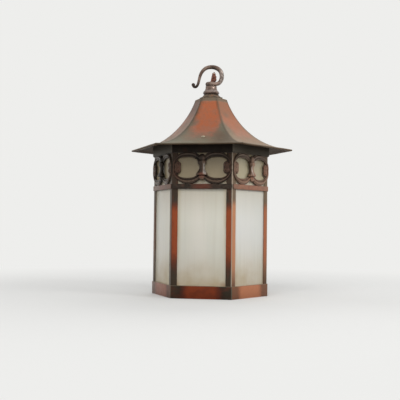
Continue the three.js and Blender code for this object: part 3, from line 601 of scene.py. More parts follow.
@dataclass(frozen=True)
class RoofSheet(Finish):
    """Sheet copper, orange on the slopes, brown along the hips and grey-green near the brim."""

    title: str = "roof_sheet"
    orange: Colour = rgb(168, 95, 62)
    rose: Colour = rgb(150, 99, 77)
    brown: Colour = rgb(116, 94, 76)
    patina: Colour = rgb(103, 99, 82)
    olive: Colour = rgb(92, 90, 69)
    shade: Colour = rgb(80, 66, 51)
    hip: Colour = rgb(78, 68, 55)
    ash: Colour = rgb(104, 82, 64)
    umber: Colour = rgb(78, 56, 42)
    scratch: Colour = rgb(214, 160, 128)
    # tints of the left and right faces: painted shade on the left, painted light on the right
    left: Colour = rgb(120, 98, 82)
    right: Colour = rgb(184, 142, 112)
    crown: Point = (332.0, 337.0)  # heights between which the patina takes over at the top
    belt: float = 265.5  # height up to which the patina reaches in the middle of a face
    belt_climb: float = 28.0  # how much higher it reaches at the hips
    belt_fan: float = 8.0  # distance from the hip in which the climb falls to a third
    smoke: tuple[Spot, ...] = (
        (-20.5, -46.0, 293.0, 13.0), (36.0, -56.0, 284.0, 22.0), (33.0, -26.0, 312.0, 12.0),
        (-44.0, -32.0, 296.0, 28.0), (64.0, 20.0, 288.0, 20.0), (-20.0, 60.0, 290.0, 18.0),
    )

    def paint(self, painter: Painter) -> None:
        """Writes the finish into a material's nodes."""
        cloud, coat, facing, face = painter.cloud, painter.coat, painter.facing, painter.face
        x, _, height = painter.axes
        first, *others = [painter.near(*spot) for spot in self.smoke]
        haze = sum(others, first)
        heat = self.heat(painter) - haze * 0.38
        warm = heat.rise(0.1, 0.8)
        painter.shades(
            heat, (0.02, self.patina), (0.27, self.brown), (0.52, self.rose), (0.8, self.orange),
        )
        coat(self.rose, cloud(11.0, 6.0, 5.1, roughness=0.66).rise(0.44, 0.66) * warm * 0.6)
        coat(self.olive, cloud(5.0, 5.0, 9.4, roughness=0.62).rise(0.53, 0.7) * 0.35)
        coat(self.hip, cloud(1.5, 3.0, 3.7).rise(0.6, 0.74) * 0.3)
        # painted shade on the left face and painted light on the right face, as lit and shaded
        # copies of the copper
        coat(self.left, facing(LEFT) * 0.5)
        coat(self.right, facing(RIGHT) * 0.25)
        dusk = x.rise(0.004, 0.03) * height.rise(0.286, 0.268)
        coat(self.shade, facing(FRONT) * dusk * 0.75)
        coat(self.hip, haze * 0.22)
        coat(self.umber, facing(LEFT) * height.rise(0.295, 0.32) * 0.74)
        coat(self.olive, facing(RIGHT) * height.rise(0.298, 0.316) * 0.22)
        ripple = face.edge + cloud(9.0, 4.0, 2.3).swing(0.003)
        coat(self.hip, facing(FRONT) * x.rise(0.0, -0.008) * ripple.rise(0.01, 0.002) * 0.36)
        coat(self.ash, height.rise(0.334, 0.337) * 0.6)
        coat(self.hip, ripple.rise(0.0048, 0.0004) * x.rise(0.0, 0.02).scaled(-0.3, 0.85))
        coat(self.hip, face.out.rise(0.1185, 0.1222) * 0.6)
        coat(self.scratch, cloud(2.2, 2.0, 7.7, (1.0, 1.0, 0.12)).rise(0.64, 0.74) * 0.14)
        dull = cloud(9.0, 4.0, 2.0) - warm * 0.6
        painter.shine(warm.scaled(0.4, 0.3), dull.scaled(0.22, 0.45))
        painter.relief(cloud(1.4, 4.0, 3.1) + cloud(20.0, 2.0, 6.0), 0.14)

    def heat(self, painter: Painter) -> Field:
        """Works out how bare the copper is: 0 under the patina and 1 where it is bright."""
        cloud, height = painter.cloud, painter.axes[2]
        drift = cloud(20.0, 5.0, 4.2, roughness=0.6).swing(2.0)
        climb = (painter.face.edge * (-1 / (self.belt_fan * MM))).math("EXPONENT")
        above = height - climb.scaled(self.belt_climb * MM, self.belt * MM) + drift * 0.007
        below_crown = height.rise(self.crown[1] * MM, self.crown[0] * MM)
        mottle = cloud(9.0, 5.0, 8.2).swing(0.6) + cloud(2.6, 5.0, 1.3).swing(0.36)
        spread = above.rise(-0.02, 0.012).scaled(0.85, 0.15)
        bare = above.rise(-0.018, 0.032) * below_crown * 0.82
        return bare + drift * 0.14 + mottle * spread


@dataclass(frozen=True)
class BandSheet(Finish):
    """Sheet copper that heat has coloured: red in the middle of each face, dark at the corners."""

    title: str = "band_sheet"
    red: Colour = rgb(124, 58, 35)
    maroon: Colour = rgb(90, 46, 33)
    dark: Colour = rgb(47, 37, 28)
    green: Colour = rgb(52, 44, 34)
    # painted light: the right face is laid paler and the left face rosier than the front
    pale: Colour = rgb(192, 128, 94)
    left_lit_pink: Colour = rgb(152, 112, 96)
    fold: Colour = rgb(120, 116, 100)
    lip: Colour = rgb(128, 120, 102)
    corner: Point = (5.0, 35.0)  # the red starts between these distances from a corner

    def paint(self, painter: Painter) -> None:
        """Writes the finish into a material's nodes."""
        cloud, coat, edge = painter.cloud, painter.coat, painter.face.edge
        x, _, height = painter.axes
        heat = edge.rise(self.corner[0] * MM, self.corner[1] * MM)
        heat += cloud(24.0, 3.0, 4.2).swing(0.55)
        heat += cloud(3.2, 4.0, 1.3).swing(0.3)
        painter.shades(
            heat, (0.0, self.green), (0.3, self.dark), (0.62, self.maroon), (0.95, self.red),
        )
        coat(self.maroon, cloud(9.0, 5.0, 7.3, (0.5, 0.5, 1.0), 0.62).rise(0.46, 0.68) * 0.5)
        hot = heat.rise(0.2, 1.0)
        # painted light: paler on the right face and rosier on the left, most where the copper is
        # red
        coat(self.pale, x.rise(0.0508, 0.0516) * hot.scaled(0.55, 0.3))
        coat(self.left_lit_pink, x.rise(-0.0508, -0.0516) * hot.scaled(0.3, 0.3))
        coat(self.fold, edge.rise(0.0014, 0.0004) * 0.5)
        coat(self.lip, height.rise(0.0199, 0.0209) * 0.5)
        metallic = heat.rise(0.2, 0.8).scaled(0.35, 0.45)
        painter.shine(metallic, cloud(7.0, 4.0, 2.0).scaled(0.3, 0.24), gloss=0.2)
        painter.relief(cloud(1.4, 4.0, 3.1), 0.1, 0.5)


@dataclass(frozen=True)
class FlamedStrip(Finish):
    """Corner strip of copper, red in the middle of its length and nearly black at its ends."""

    title: str = "flamed_strip"
    red: Colour = rgb(148, 74, 46)
    maroon: Colour = rgb(100, 58, 43)
    dark: Colour = rgb(62, 52, 44)
    soot: Colour = rgb(60, 48, 38)
    # painted light on the flanges that face right
    pale: Colour = rgb(202, 143, 106)
    # painted shade on the flanges that face left
    grey: Colour = rgb(88, 77, 65)
    tan: Colour = rgb(136, 115, 92)
    # painted highlight along the corner edges
    worn: Colour = rgb(178, 164, 146)
    ochre: Colour = rgb(68, 58, 44)

    def paint(self, painter: Painter) -> None:
        """Writes the finish into a material's nodes."""
        cloud, coat = painter.cloud, painter.coat
        x, _, height = painter.axes
        heat = height.rise(0.01, 0.09) * height.rise(0.172, 0.138)
        heat += cloud(30.0, 2.0, 2.6).swing(0.5)
        heat += cloud(2.6, 4.0, 5.0).swing(0.28)
        painter.shades(
            heat, (0.02, self.soot), (0.28, self.dark), (0.62, self.maroon), (0.95, self.red),
        )
        coat(self.ochre, height.rise(0.056, 0.03) * 0.5)
        coat(self.maroon, cloud(6.0, 5.0, 7.3, (1.0, 1.0, 0.3), 0.62).rise(0.5, 0.72) * 0.45)
        # painted light: the flanges that face right are laid pale below the frieze
        aside = x.rise(0.0497, 0.0503)
        lit = height.rise(0.004, 0.06) * x.rise(0.092, 0.085).scaled(0.5, 0.35)
        coat(self.pale, aside * height.rise(0.168, 0.15) * lit)
        # painted shade: the flanges that face left are laid grey
        coat(self.grey, x.rise(-0.0501, -0.0507) * 0.8)
        coat(self.tan, aside * height.rise(0.15, 0.168) * 0.62)
        # painted highlight: a pale line along the corners of the right half
        line = painter.face.edge.rise(0.0015, 0.0006)
        coat(self.worn, line * x.rise(-0.01, 0.01) * 0.8)
        coat(self.soot, line * x.rise(0.0, -0.02) * 0.5)
        metallic = heat.rise(0.2, 0.8).scaled(0.4, 0.3)
        painter.shine(metallic, cloud(7.0, 4.0, 9.0).scaled(0.3, 0.26), gloss=0.2)
        painter.relief(cloud(1.6, 4.0, 3.3), 0.08, 0.5)


@dataclass(frozen=True)
class DarkSheet(Finish):
    """Copper sheet gone to a dark brown skin."""

    title: str = "dark_sheet"
    skin: Colour = rgb(30, 23, 18)
    light: Colour = rgb(46, 39, 32)
    rust: Colour = rgb(48, 30, 23)
    # lighter tone of the side faces: painted light
    grey: Colour = rgb(98, 91, 76)
    # painted highlight near and along the corners
    worn: Colour = rgb(124, 117, 104)

    def paint(self, painter: Painter) -> None:
        """Writes the finish into a material's nodes."""
        cloud, coat, x = painter.cloud, painter.coat, painter.axes[0]
        broad = cloud(22.0, 4.0, 8.8)
        painter.colour = self.skin
        coat(self.light, broad.rise(0.42, 0.7))
        coat(self.rust, cloud(14.0, 4.0, 3.9).rise(0.56, 0.7) * 0.6)
        # painted light: the side faces are laid lighter than the dark front
        coat(self.grey, x.math("ABSOLUTE").rise(0.0512, 0.0522) * 0.46)
        # painted highlight: light streaks on the right face by the front corner and along every
        # corner
        coat(self.worn, x.rise(0.0512, 0.0522) * x.rise(0.074, 0.052) * 0.4)
        coat(self.worn, painter.face.edge.rise(0.0022, 0.0004) * 0.7)
        painter.shine(0.1, broad.scaled(0.3, 0.4), gloss=0.12)
        painter.relief(cloud(2.0, 4.0, 3.3), 0.12, 0.5)


@dataclass(frozen=True)
class Casting(Finish):
    """Cast copper, dark in its hollows partly by painted shade, worn lighter on what stands proud
    and red on the bosses, with painted light on the right panel, painted shade under the roof and
    on the left panel, and painted highlights and shade on the balusters.
    """

    title: str = "casting"
    back: float = 86.99  # where the panel starts, from the axis
    hollow: Colour = rgb(30, 24, 19)
    skin: Colour = rgb(70, 55, 44)
    proud: Colour = rgb(104, 84, 70)
    rose: Colour = rgb(104, 70, 55)
    red: Colour = rgb(124, 60, 42)
    lit: Colour = rgb(170, 132, 109)
    frieze_top_shade: Colour = rgb(50, 43, 36)
    silver_highlight: Colour = rgb(166, 158, 149)
    pewter: Colour = rgb(132, 122, 108)
    # painted shade tone of the left panel
    left_panel_shade: Colour = rgb(84, 77, 66)
    right_frieze_top_shade: Colour = rgb(86, 80, 70)
    # lit tone of the right panel's volutes and rail: painted light
    right_lit_orange: Colour = rgb(164, 114, 91)
    left_lit_pink: Colour = rgb(122, 86, 69)
    boss: Point = (201.8, 6.2)  # height of the red spot on the baluster, and its reach

    def paint(self, painter: Painter) -> None:
        """Writes the finish into a material's nodes."""
        cloud, coat, face = painter.cloud, painter.coat, painter.face
        x, _, height = painter.axes
        depth = face.out - self.back * MM + cloud(3.2, 5.0, 6.1).swing(0.0024)
        # the occlusion pass darkens the recesses: painted shade, laid over the dark patina of the
        # hollows
        bare = painter.crevice(3.5).rise(0.35, 0.95).scaled(0.65, 0.35)
        raised = depth.rise(0.0002, 0.0044) * bare
        painter.shades(raised, (0.08, self.hollow), (0.4, self.skin), (0.9, self.proud))
        coat(self.rose, cloud(20.0, 3.0, 5.5).rise(0.5, 0.68) * 0.4)
        # painted light: the right panel is laid lighter than the others
        aside = x.rise(0.05, 0.054)
        coat(self.lit, aside * raised.scaled(0.55, 0.22))
        # painted shade under the roof over the frieze's top, lighter on the right panel
        coat(painter.blend(aside, self.frieze_top_shade, self.right_frieze_top_shade), height.rise(0.218, 0.236) * 0.6)
        scroll = face.across.rise(0.034, 0.037) * height.rise(0.203, 0.207)
        scroll *= height.rise(0.227, 0.223) * raised
        coat(painter.blend(aside, self.rose, self.right_lit_orange), scroll * 0.6)
        coat(self.pewter, aside * x.rise(0.0625, 0.057) * raised * 0.55)
        self.balusters(painter)
        coat(self.red, painter.beside(*self.boss) * x.rise(-0.054, -0.05) * 0.38)
        rail = height.rise(0.1886, 0.188)
        coat(self.red, rail * face.across.rise(0.021, 0.005) * 0.38)
        patches = cloud(7.0, 4.0, 3.3, roughness=0.6).rise(0.36, 0.6).scaled(0.4, 0.36)
        # painted light on the right panel's rail
        coat(self.right_lit_orange, rail * aside * patches * x.rise(0.052, 0.062).scaled(0.35, 0.65))
        # painted light: the left panel's rail is laid rosier
        coat(self.left_lit_pink, rail * x.rise(-0.05, -0.054) * 0.6)
        painter.shine(0.35, cloud(4.0, 4.0, 1.1).scaled(0.3, 0.2), gloss=0.3)
        painter.relief(cloud(1.1, 5.0, 0.7), 0.14)

    def balusters(self, painter: Painter) -> None:
        """Paints shade on one side of each baluster and a painted highlight on the other, and lays
        painted shade over the left panel.
        """
        coat, facing, across = painter.coat, painter.facing, painter.face.across
        x, _, height = painter.axes
        shaft = height.rise(0.2225, 0.2185)
        front = facing(FRONT) * height.rise(0.202, 0.206)
        # painted highlight on the right half of the front baluster
        coat(self.silver_highlight, front * x.rise(0.0018, 0.0032) * x.rise(0.0088, 0.006) * shaft * 0.96)
        # painted shade on the left half of the front baluster
        coat(self.hollow, front * x.rise(0.0022, 0.0004) * x.rise(-0.0115, -0.0095) * 0.72)
        coat(self.hollow, front * height.rise(0.225, 0.228) * across.rise(0.009, 0.0075) * 0.15)
        left = facing(LEFT)
        # painted shade over the left panel
        coat(self.left_panel_shade, left * 0.2)
        # painted shade on the left panel's baluster
        coat(self.hollow, left * across.rise(0.0115, 0.0085) * 0.9)
        along = painter.along(RIGHT + 90.0)
        right = facing(RIGHT) * height.rise(0.2, 0.205)
        # painted shade on the left-facing side of the right panel's baluster
        coat(self.skin, right * along.rise(-0.003, -0.0037) * along.rise(-0.0095, -0.0075) * 0.75)
        # painted highlight near the crest of the right panel's baluster
        glint = along.rise(-0.0036, -0.003) * along.rise(-0.0004, -0.0018)
        coat(self.silver_highlight, right * glint * shaft * 0.7)


@dataclass(frozen=True)
class Burnished(Finish):
    """Turned or forged bronze, brown in places and darker in its crevices partly by painted shade,
    with painted highlights on the hook's right side and round the hub, and painted shade on the
    hub's left side and foot and on the left of the eye.
    """

    title: str = "burnished_bronze"
    bright: Colour = rgb(148, 127, 115)
    brown: Colour = rgb(100, 80, 69)
    grime_and_shade: Colour = rgb(42, 33, 27)
    # painted highlight tone
    silver_highlight: Colour = rgb(196, 182, 173)

    def paint(self, painter: Painter) -> None:
        """Writes the finish into a material's nodes."""
        cloud, coat = painter.cloud, painter.coat
        x, _, height = painter.axes
        # darker in crevices by the occlusion pass: painted shade, mixed with random dark patches
        wear_and_shade = cloud(16.0, 5.0, 2.4) * painter.crevice(3.0).rise(0.4, 0.9).scaled(0.4, 0.6)
        painter.shades(wear_and_shade, (0.3, self.grime_and_shade), (0.46, self.brown), (0.62, self.bright))
        # painted highlight along the hook's right side, broken up at random
        highlight_mottle = cloud(3.0, 4.0, 4.4).rise(0.38, 0.6).scaled(0.35, 0.2)
        coat(self.silver_highlight, x.rise(0.0125, 0.0185) * highlight_mottle)
        # painted highlight: a bright band low on the hub and a streak right of its middle
        coat(self.silver_highlight, height.rise(0.352, 0.3532) * height.rise(0.3568, 0.3555) * 0.32)
        hub = height.rise(0.3612, 0.3606)
        coat(self.silver_highlight, hub * x.rise(-0.001, 0.003) * x.rise(0.0095, 0.006) * 0.12)
        # painted shade on the hub's left side and its foot
        coat(self.grime_and_shade, hub * x.rise(-0.0055, -0.0115) * 0.6)
        coat(self.grime_and_shade, height.rise(0.3516, 0.3498) * 0.5)
        coat(self.grime_and_shade, x.rise(-0.0275, -0.0295) * 0.6)
        # painted shade on the left of the eye
        eye = height.rise(0.3632, 0.3642) * height.rise(0.374, 0.369) * x.rise(0.006, -0.006)
        coat(self.grime_and_shade, eye * 0.5)
        painter.shine(0.6, cloud(3.0, 4.0).scaled(0.25, 0.16))
        painter.relief(cloud(2.4, 4.0, 3.0), 0.16)


@dataclass(frozen=True)
class GreenedCopper(Finish):
    """Copper with a grey-green skin."""

    title: str = "greened_copper"
    green: Colour = rgb(104, 90, 73)
    grey: Colour = rgb(86, 73, 61)
    copper: Colour = rgb(122, 90, 70)

    def paint(self, painter: Painter) -> None:
        """Writes the finish into a material's nodes."""
        broad = painter.cloud(8.0, 5.0, 3.6)
        painter.shades(broad, (0.35, self.grey), (0.5, self.green), (0.68, self.copper))
        painter.shine(0.3, 0.55)
        painter.relief(painter.cloud(1.2, 5.0, 0.4), 0.14)


@dataclass(frozen=True)
class Opal(Finish):
    """Opal glass, a little stained at its foot and edges, with painted shade along the posts and a
    painted warm reflection at the foot mixed in, paler on the right pane by painted light, and
    darkened towards the top and behind the frieze by painted shade with some smoke.
    """

    title: str = "stained_shaded_opal"
    milk: Colour = rgb(228, 224, 212)
    cool: Colour = rgb(221, 219, 206)
    # stain at the foot and edges, with painted shade along the posts and a painted warm reflection
    # at the foot mixed in
    stain: Colour = rgb(186, 163, 119)
    # dark tone towards the top: painted shade under the roof, partly smoke
    smoke: Colour = rgb(149, 133, 102)
    paler: Colour = rgb(178, 166, 134)
    rust: Colour = rgb(168, 132, 96)
    # painted light on the right pane
    clear: Colour = rgb(228, 230, 228)
    grey: Colour = rgb(198, 191, 174)
    blot: Spot = (36.0, -85.0, 23.0, 8.0)  # a spot by one corner

    def paint(self, painter: Painter) -> None:
        """Writes the finish into a material's nodes."""
        cloud, coat = painter.cloud, painter.coat
        x, _, height = painter.axes
        painter.colour = self.milk
        coat(self.cool, cloud(40.0, 2.0, 2.2, (1.0, 1.0, 0.25)).rise(0.35, 0.65))
        coat(self.grey, cloud(5.0, 3.0, 6.6, (1.0, 1.0, 0.03)).rise(0.46, 0.66) * 0.16)
        mottle = cloud(34.0, 3.0, 1.4).rise(0.25, 0.75)
        # darker along the posts and at the foot: partly stain, partly painted shade and reflection
        side = painter.face.edge.rise(0.017, 0.008)
        stained = height.rise(0.085, 0.015).math("MAXIMUM", side * 0.7)
        coat(self.stain, stained * mottle.scaled(0.6, 0.4) * 0.9)
        # painted light: the right pane is laid paler
        aside = x.rise(0.049, 0.052)
        coat(self.clear, aside * height.rise(0.05, 0.11) * 0.55)
        # painted shade under the roof and behind the frieze, partly smoke, paler on the right pane
        smoke = painter.blend(aside, self.smoke, self.paler)
        coat(smoke, height.rise(0.12, 0.19) * 0.42)
        coat(smoke, height.rise(0.178, 0.2) * 0.88)
        coat(self.rust, painter.near(*self.blot) * 0.5)
        coat(self.rust, side * height.rise(0.05, 0.022) * mottle * 0.8)
        painter.shine(
            roughness=0.3, ior=1.45, subsurface=0.2, subsurface_radius=(1.0, 0.9, 0.7),
            subsurface_scale=0.003,
        )
        painter.relief(cloud(14.0, 2.0, 5.2, (1.0, 1.0, 0.3)), 0.12, 0.3)


@dataclass(frozen=True)
class Plain(Finish):
    """A plain inner material with a slight mottle."""

    title: str
    main: Colour
    second: Colour
    size: float = 4.0
    metallic: float = 0.0
    roughness: float = 0.4
    depth: float = 0.05
    gloss: float = 0.5

    def paint(self, painter: Painter) -> None:
        """Writes the finish into a material's nodes."""
        mottle = painter.cloud(self.size, 4.0, 1.9)
        painter.colour = self.main
        painter.coat(self.second, mottle.rise(0.38, 0.66))
        painter.shine(self.metallic, self.roughness, gloss=self.gloss)
        painter.relief(mottle, self.depth, 0.5)


@dataclass(frozen=True)
class Braid(Finish):
    """Woven cloth round a lead, rusty and frayed."""

    title: str = "braid"
    rust: Colour = rgb(134, 74, 52)
    pale: Colour = rgb(176, 128, 104)
    dark: Colour = rgb(64, 42, 36)

    def paint(self, painter: Painter) -> None:
        """Writes the finish into a material's nodes."""
        threads = painter.made("TexWave", "Fac", {
            "Vector": painter.place, "Scale": 320.0, "Distortion": 2.0, "Detail": 2.0,
        }, wave_type="BANDS", bands_direction="DIAGONAL")
        painter.colour = self.dark
        painter.coat(self.rust, threads.rise(0.2, 0.9))
        painter.coat(self.pale, painter.cloud(3.0, 4.0, 2.2).rise(0.5, 0.7) * 0.8)
        painter.shine(roughness=0.9, sheen=0.3)
        painter.relief(threads, 0.3, 0.8)


ROOF_SHEET = RoofSheet()
BAND_SHEET = BandSheet()
INNER_SHEET = Plain("inner_sheet", rgb(98, 79, 60), rgb(74, 58, 43), 18.0, 0.0, 0.6, 0.1, 0.15)
POST_STRIP = FlamedStrip()
COLLAR_SHEET = DarkSheet()
CASTING = Casting()
BRONZE = Burnished()
GREENED = GreenedCopper()
OPAL = Opal()
SCREW = Plain("worn_screw", rgb(186, 174, 150), rgb(122, 108, 92), 2.0, 0.6, 0.35)
BRASS = Plain("yellow_brass", rgb(196, 160, 96), rgb(150, 118, 68), 6.0, 0.95, 0.3)
PORCELAIN = Plain("glazed_porcelain", rgb(232, 228, 216), rgb(222, 216, 200), 5.0, 0.0, 0.18)
FIBRE = Plain("pressed_fibre", rgb(86, 62, 46), rgb(66, 48, 36), 2.0, 0.0, 0.8, 0.1)
FROST = Plain("frosted_bulb", rgb(238, 237, 230), rgb(228, 228, 220), 12.0, 0.0, 0.5)
STRAND = Plain("strand", rgb(196, 170, 150), rgb(150, 124, 106), 1.0, 0.8, 0.45)
BRAID = Braid()


class Bench:
    """Hands finished pieces over to the lantern."""

    def __init__(self, nodes: dict[str, bpy.types.Object]) -> None:
        """Keeps the solids that the pieces stand in for."""
        self.nodes = nodes

    def fit(
        self, piece: bpy.types.Object, slot: str, finishes: Sequence[Finish],
        instead_of: Sequence[str], body: Body = Body.LANTERN,
    ) -> bpy.types.Object:
        """Gives a piece its finish, its body and the solids that it stands for.

        Args:
            piece: The new piece.
            slot: The record's material slot; not used.
            finishes: Its finishes, in the order of its material slots.
            instead_of: Names of the solids.
            body: The body that it rides on.

        Returns:
            The piece.
        """
        for finish in finishes:
            piece.data.materials.append(finish.material())
        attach(piece, body.value)
        if instead_of:
            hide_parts(*instead_of)
        log.info("%s: %d faces, rides on %s", piece.name, len(piece.data.polygons), body.value)
        return piece

    def dress(self, name: str, finish: Finish) -> None:
        """Gives a solid that stays its finish."""
        solid = self.nodes[name]
        solid.data.materials.clear()
        solid.data.materials.append(finish.material())
        log.info("%s: kept, in %s", name, finish.title)


@dataclass
class Housing:
    """Base band, posts, panes, clips and collar."""

    bench: Bench
    band_out: float = 87.99
    sheet: float = 1.0
    band_height: float = 21.2
    ledge: float = 78.99
    post_out: float = 86.69
    post_flange: float = 9.8
    glass_out: float = 85.39
    glass_in: float = 82.39
    glass_half: float = 46.27
    low: float = 1.3
    collar_low: float = 240.0
    collar_in: float = 88.09
    flange_in: float = 78.29

    def build(self) -> None:
        """Makes the whole housing."""
        self.band()
        self.collar()
        post = self.post()
        pane = self.pane()
        for i in range(SIDES):
            corner = Matrix.Rotation(HALF_SECTOR - math.pi / 2 + i * SECTOR, 4, "Z")
            strip = post.copied(corner).finished(f"post_{i + 1}", 50.0)
            self.bench.fit(strip, "dark_copper", [POST_STRIP], [f"corner_post_{i + 1}"])
            glass = pane.copied(Matrix.Rotation(i * SECTOR, 4, "Z")).finished(f"pane_{i + 1}")
            self.bench.fit(glass, "opal_glass", [OPAL], [f"glass_pane_{i + 1}"])
            self.bench.dress(f"glass_clip_{i + 1}", INNER_SHEET)

    def band(self) -> None:
        """Makes the band with its folded ledge."""
        out, inner, top = self.band_out, self.band_out - self.sheet, self.band_height
        shape = Shape().six_sided([
            (self.ledge, 0.0), (out, 0.0), (out, top), (inner, top), (inner, self.sheet),
            (self.ledge, self.sheet),
        ])
        shape.softened(0.4, 3)
        piece = shape.finished("band", 50.0)
        self.bench.fit(piece, "sheet_copper", [BAND_SHEET], ["base_band"])

    def collar(self) -> None:
        """Makes the collar that closes the top of the body."""
        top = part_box("top_collar")[1].z / MM
        out = self.collar_in + self.sheet
        shape = Shape().six_sided([
            (self.collar_in, self.collar_low), (out, self.collar_low), (out, top),
            (self.flange_in, top), (self.flange_in, top - self.sheet),
            (self.collar_in, top - self.sheet),
        ])
        shape.softened(0.35, 3)
        piece = shape.finished("collar", 50.0)
        self.bench.fit(piece, "dark_copper", [COLLAR_SHEET], ["top_collar"])

    def post(self) -> Shape:
        """Makes an angle strip on the corner that lies along +X."""
        along = Vector((-math.sin(HALF_SECTOR), math.cos(HALF_SECTOR)))
        inwards = Vector((-along.y, along.x))
        corner = Vector((corner_of(self.post_out), 0.0))
        inside = Vector((corner_of(self.post_out - self.sheet), 0.0))
        tip = corner + self.post_flange * along
        heel = tip + self.sheet * inwards
        outline = [corner, tip, heel, inside, Vector((heel.x, -heel.y)), Vector((tip.x, -tip.y))]
        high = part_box("corner_post_1")[1].z / MM
        shape = Shape().prism([tuple(point) for point in outline], self.low, high)
        return shape.softened(0.32, 3, 25.0)

    def pane(self) -> Shape:
        """Makes the front pane."""
        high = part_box("glass_pane_1")[1].z / MM
        size = Vector((2 * self.glass_half, self.glass_out - self.glass_in, high - self.low))
        centre = Vector((0.0, -(self.glass_out + self.glass_in) / 2, (self.low + high) / 2))
        return Shape().block(size, centre).softened(0.3, 2)


@dataclass
class Frieze:
    """A pierced panel: rail, two rings with four volutes, and a baluster."""

    bench: Bench
    back: float = 86.99
    plate: float = 0.8
    rail_low: float = 179.7
    rail_high: float = 188.0
    rail_relief: float = 1.5
    rail_short: float = 0.7  # how much of the post's corner it leaves bare
    tongue_low: float = 239.0
    collar_low: float = 239.7
    middle: float = 214.9  # height of the rings' centres
    ring_spread: float = 22.6
    ring_opening: float = 17.1
    ring_outer: float = 27.3
    ring_drawn: float = 6.0  # how far the opening is drawn out towards the corner
    ring_neck: float = 1.2  # and towards the baluster
    ring_square: float = 2.5  # power of the opening's outline, where 2 is an oval
    ring_relief: float = 2.8
    notch: float = 1.6  # between the volutes, on the ring's outer side
    notch_width: float = 0.09  # as a share of the ring's outer radius
    volute_at: float = 40.6
    volute_rise: float = 4.9
    volute_radius: float = 5.3
    rib_steps: int = 44
    rib_turns: Point = (20.0, 540.0)  # where a volute's rib starts and how far it winds, in degrees
    rib_reach: Point = (0.84, 0.54)  # where it starts and how far it moves in, in radii
    rib_climb: Point = (1.5, 0.75)  # its height at the start and how much higher it ends
    rib_radius: Point = (1.05, 0.35)  # its radius at the start and how much it thins
    eye_radius: float = 1.5
    eye_height: float = 1.7
    leaf_relief: float = 1.8
    baluster_flatness: float = 0.6
    baluster_lift: float = 2.4

    def build(self) -> None:
        """Makes the panel once and sets one on each face."""
        panel = self.panel()
        for i in range(SIDES):
            turned = panel.copied(Matrix.Rotation(i * SECTOR, 4, "Z"))
            piece = turned.finished(f"frieze_cast_{i + 1}", 48.0)
            self.bench.fit(piece, "cast_copper", [CASTING], [f"frieze_{i + 1}"])

    def ring(self) -> Shape:
        """Makes a ring with two ribs and a groove, its opening drawn out towards +X."""
        section = [
            (0.0, 0.0), (0.0, 0.42), (0.04, 0.58), (0.1, 0.68), (0.17, 0.7), (0.22, 0.62),
            (0.26, 0.46), (0.3, 0.42), (0.34, 0.5), (0.42, 0.82), (0.52, 0.98), (0.6, 1.0),
            (0.7, 0.9), (0.76, 0.66), (0.8, 0.58), (0.84, 0.64), (0.9, 0.66), (0.96, 0.46),
            (1.0, 0.2), (1.0, 0.0),
        ]
        profile = [(1.0 + across, up * self.ring_relief) for across, up in section]
        shape = Shape().spun(profile, 96, True)
        half = self.ring_opening + (self.ring_drawn + self.ring_neck) / 2
        aside = Vector(((self.ring_drawn - self.ring_neck) / 2, 0.0))
        power = 2 / self.ring_square
        for vert in shape.mesh.verts:
            reach = vert.co.xy.length
            aim = Vector((vert.co.x / reach, vert.co.y / reach))
            squared = Vector([math.copysign(abs(value) ** power, value) for value in aim])
            inner = Vector((half * squared.x, self.ring_opening * squared.y)) + aside
            outer = self.ring_outer * aim
            if aim.x > 0:
                outer -= self.notch * math.exp(-((aim.y / self.notch_width) ** 2)) * aim
            vert.co.xy = inner.lerp(outer, reach - 1.0)
        return shape

    def volute(self) -> Shape:
        """Makes a volute: a dish, a rib that winds in over it, and an eye."""
        radius = self.volute_radius
        dish = Shape().spun(profile_through([
            (0.0, 1.0), (0.5 * radius, 1.1), (0.86 * radius, 1.5), (radius, 0.8),
        ], 3) + [(radius, 0.0), (0.0, 0.0)], 40)
        path = []
        for i in range(self.rib_steps + 1):
            share = i / self.rib_steps
            turn = math.radians(self.rib_turns[0] - self.rib_turns[1] * share)
            reach = radius * (self.rib_reach[0] - self.rib_reach[1] * share)
            lift = self.rib_climb[0] + self.rib_climb[1] * share
            path.append(Vector((reach * math.cos(turn), reach * math.sin(turn), lift)))
        thick, thinner = self.rib_radius
        rib = Shape().swept(path, lambda share: thick - thinner * share, 10)
        eye = Shape().ball(self.eye_radius, Vector((0.0, 0.0, self.eye_height)), 20)
        return dish.joined(Joining.ADD, [rib, eye])

    def baluster(self) -> Shape:
        """Makes a turned baluster, flattened, that stands on the rings' crossing."""
        reach = self.middle - self.rail_high - LIFT
        skirt = [(0.0, -0.8), (3.2, -0.74), (5.2, -0.58), (4.3, -0.48)]
        waist = profile_through([
            (9.6, -0.43), (8.9, -0.36), (7.0, -0.25), (5.1, -0.14), (4.2, -0.04), (3.9, 0.05),
            (4.3, 0.12),
        ], 4)
        capital = profile_through([
            (5.7, 0.18), (6.9, 0.25), (7.2, 0.33), (6.7, 0.4), (5.4, 0.45), (5.0, 0.5), (5.6, 0.57),
            (5.2, 0.68), (3.2, 0.8), (0.0, 0.84),
        ], 3)
        foot = profile_through(skirt, 4)
        line = foot + [(9.4, -0.46)] + waist + capital
        profile = [(radius, share * reach) for radius, share in line]
        shape = Shape().spun(profile, 40)
        flat = Matrix.Diagonal((1.0, 1.0, self.baluster_flatness, 1.0))
        lift = Matrix.Translation((0.0, 0.0, self.baluster_lift))
        return shape.moved(lift @ flat @ Matrix.Rotation(-math.pi / 2, 4, "X"))

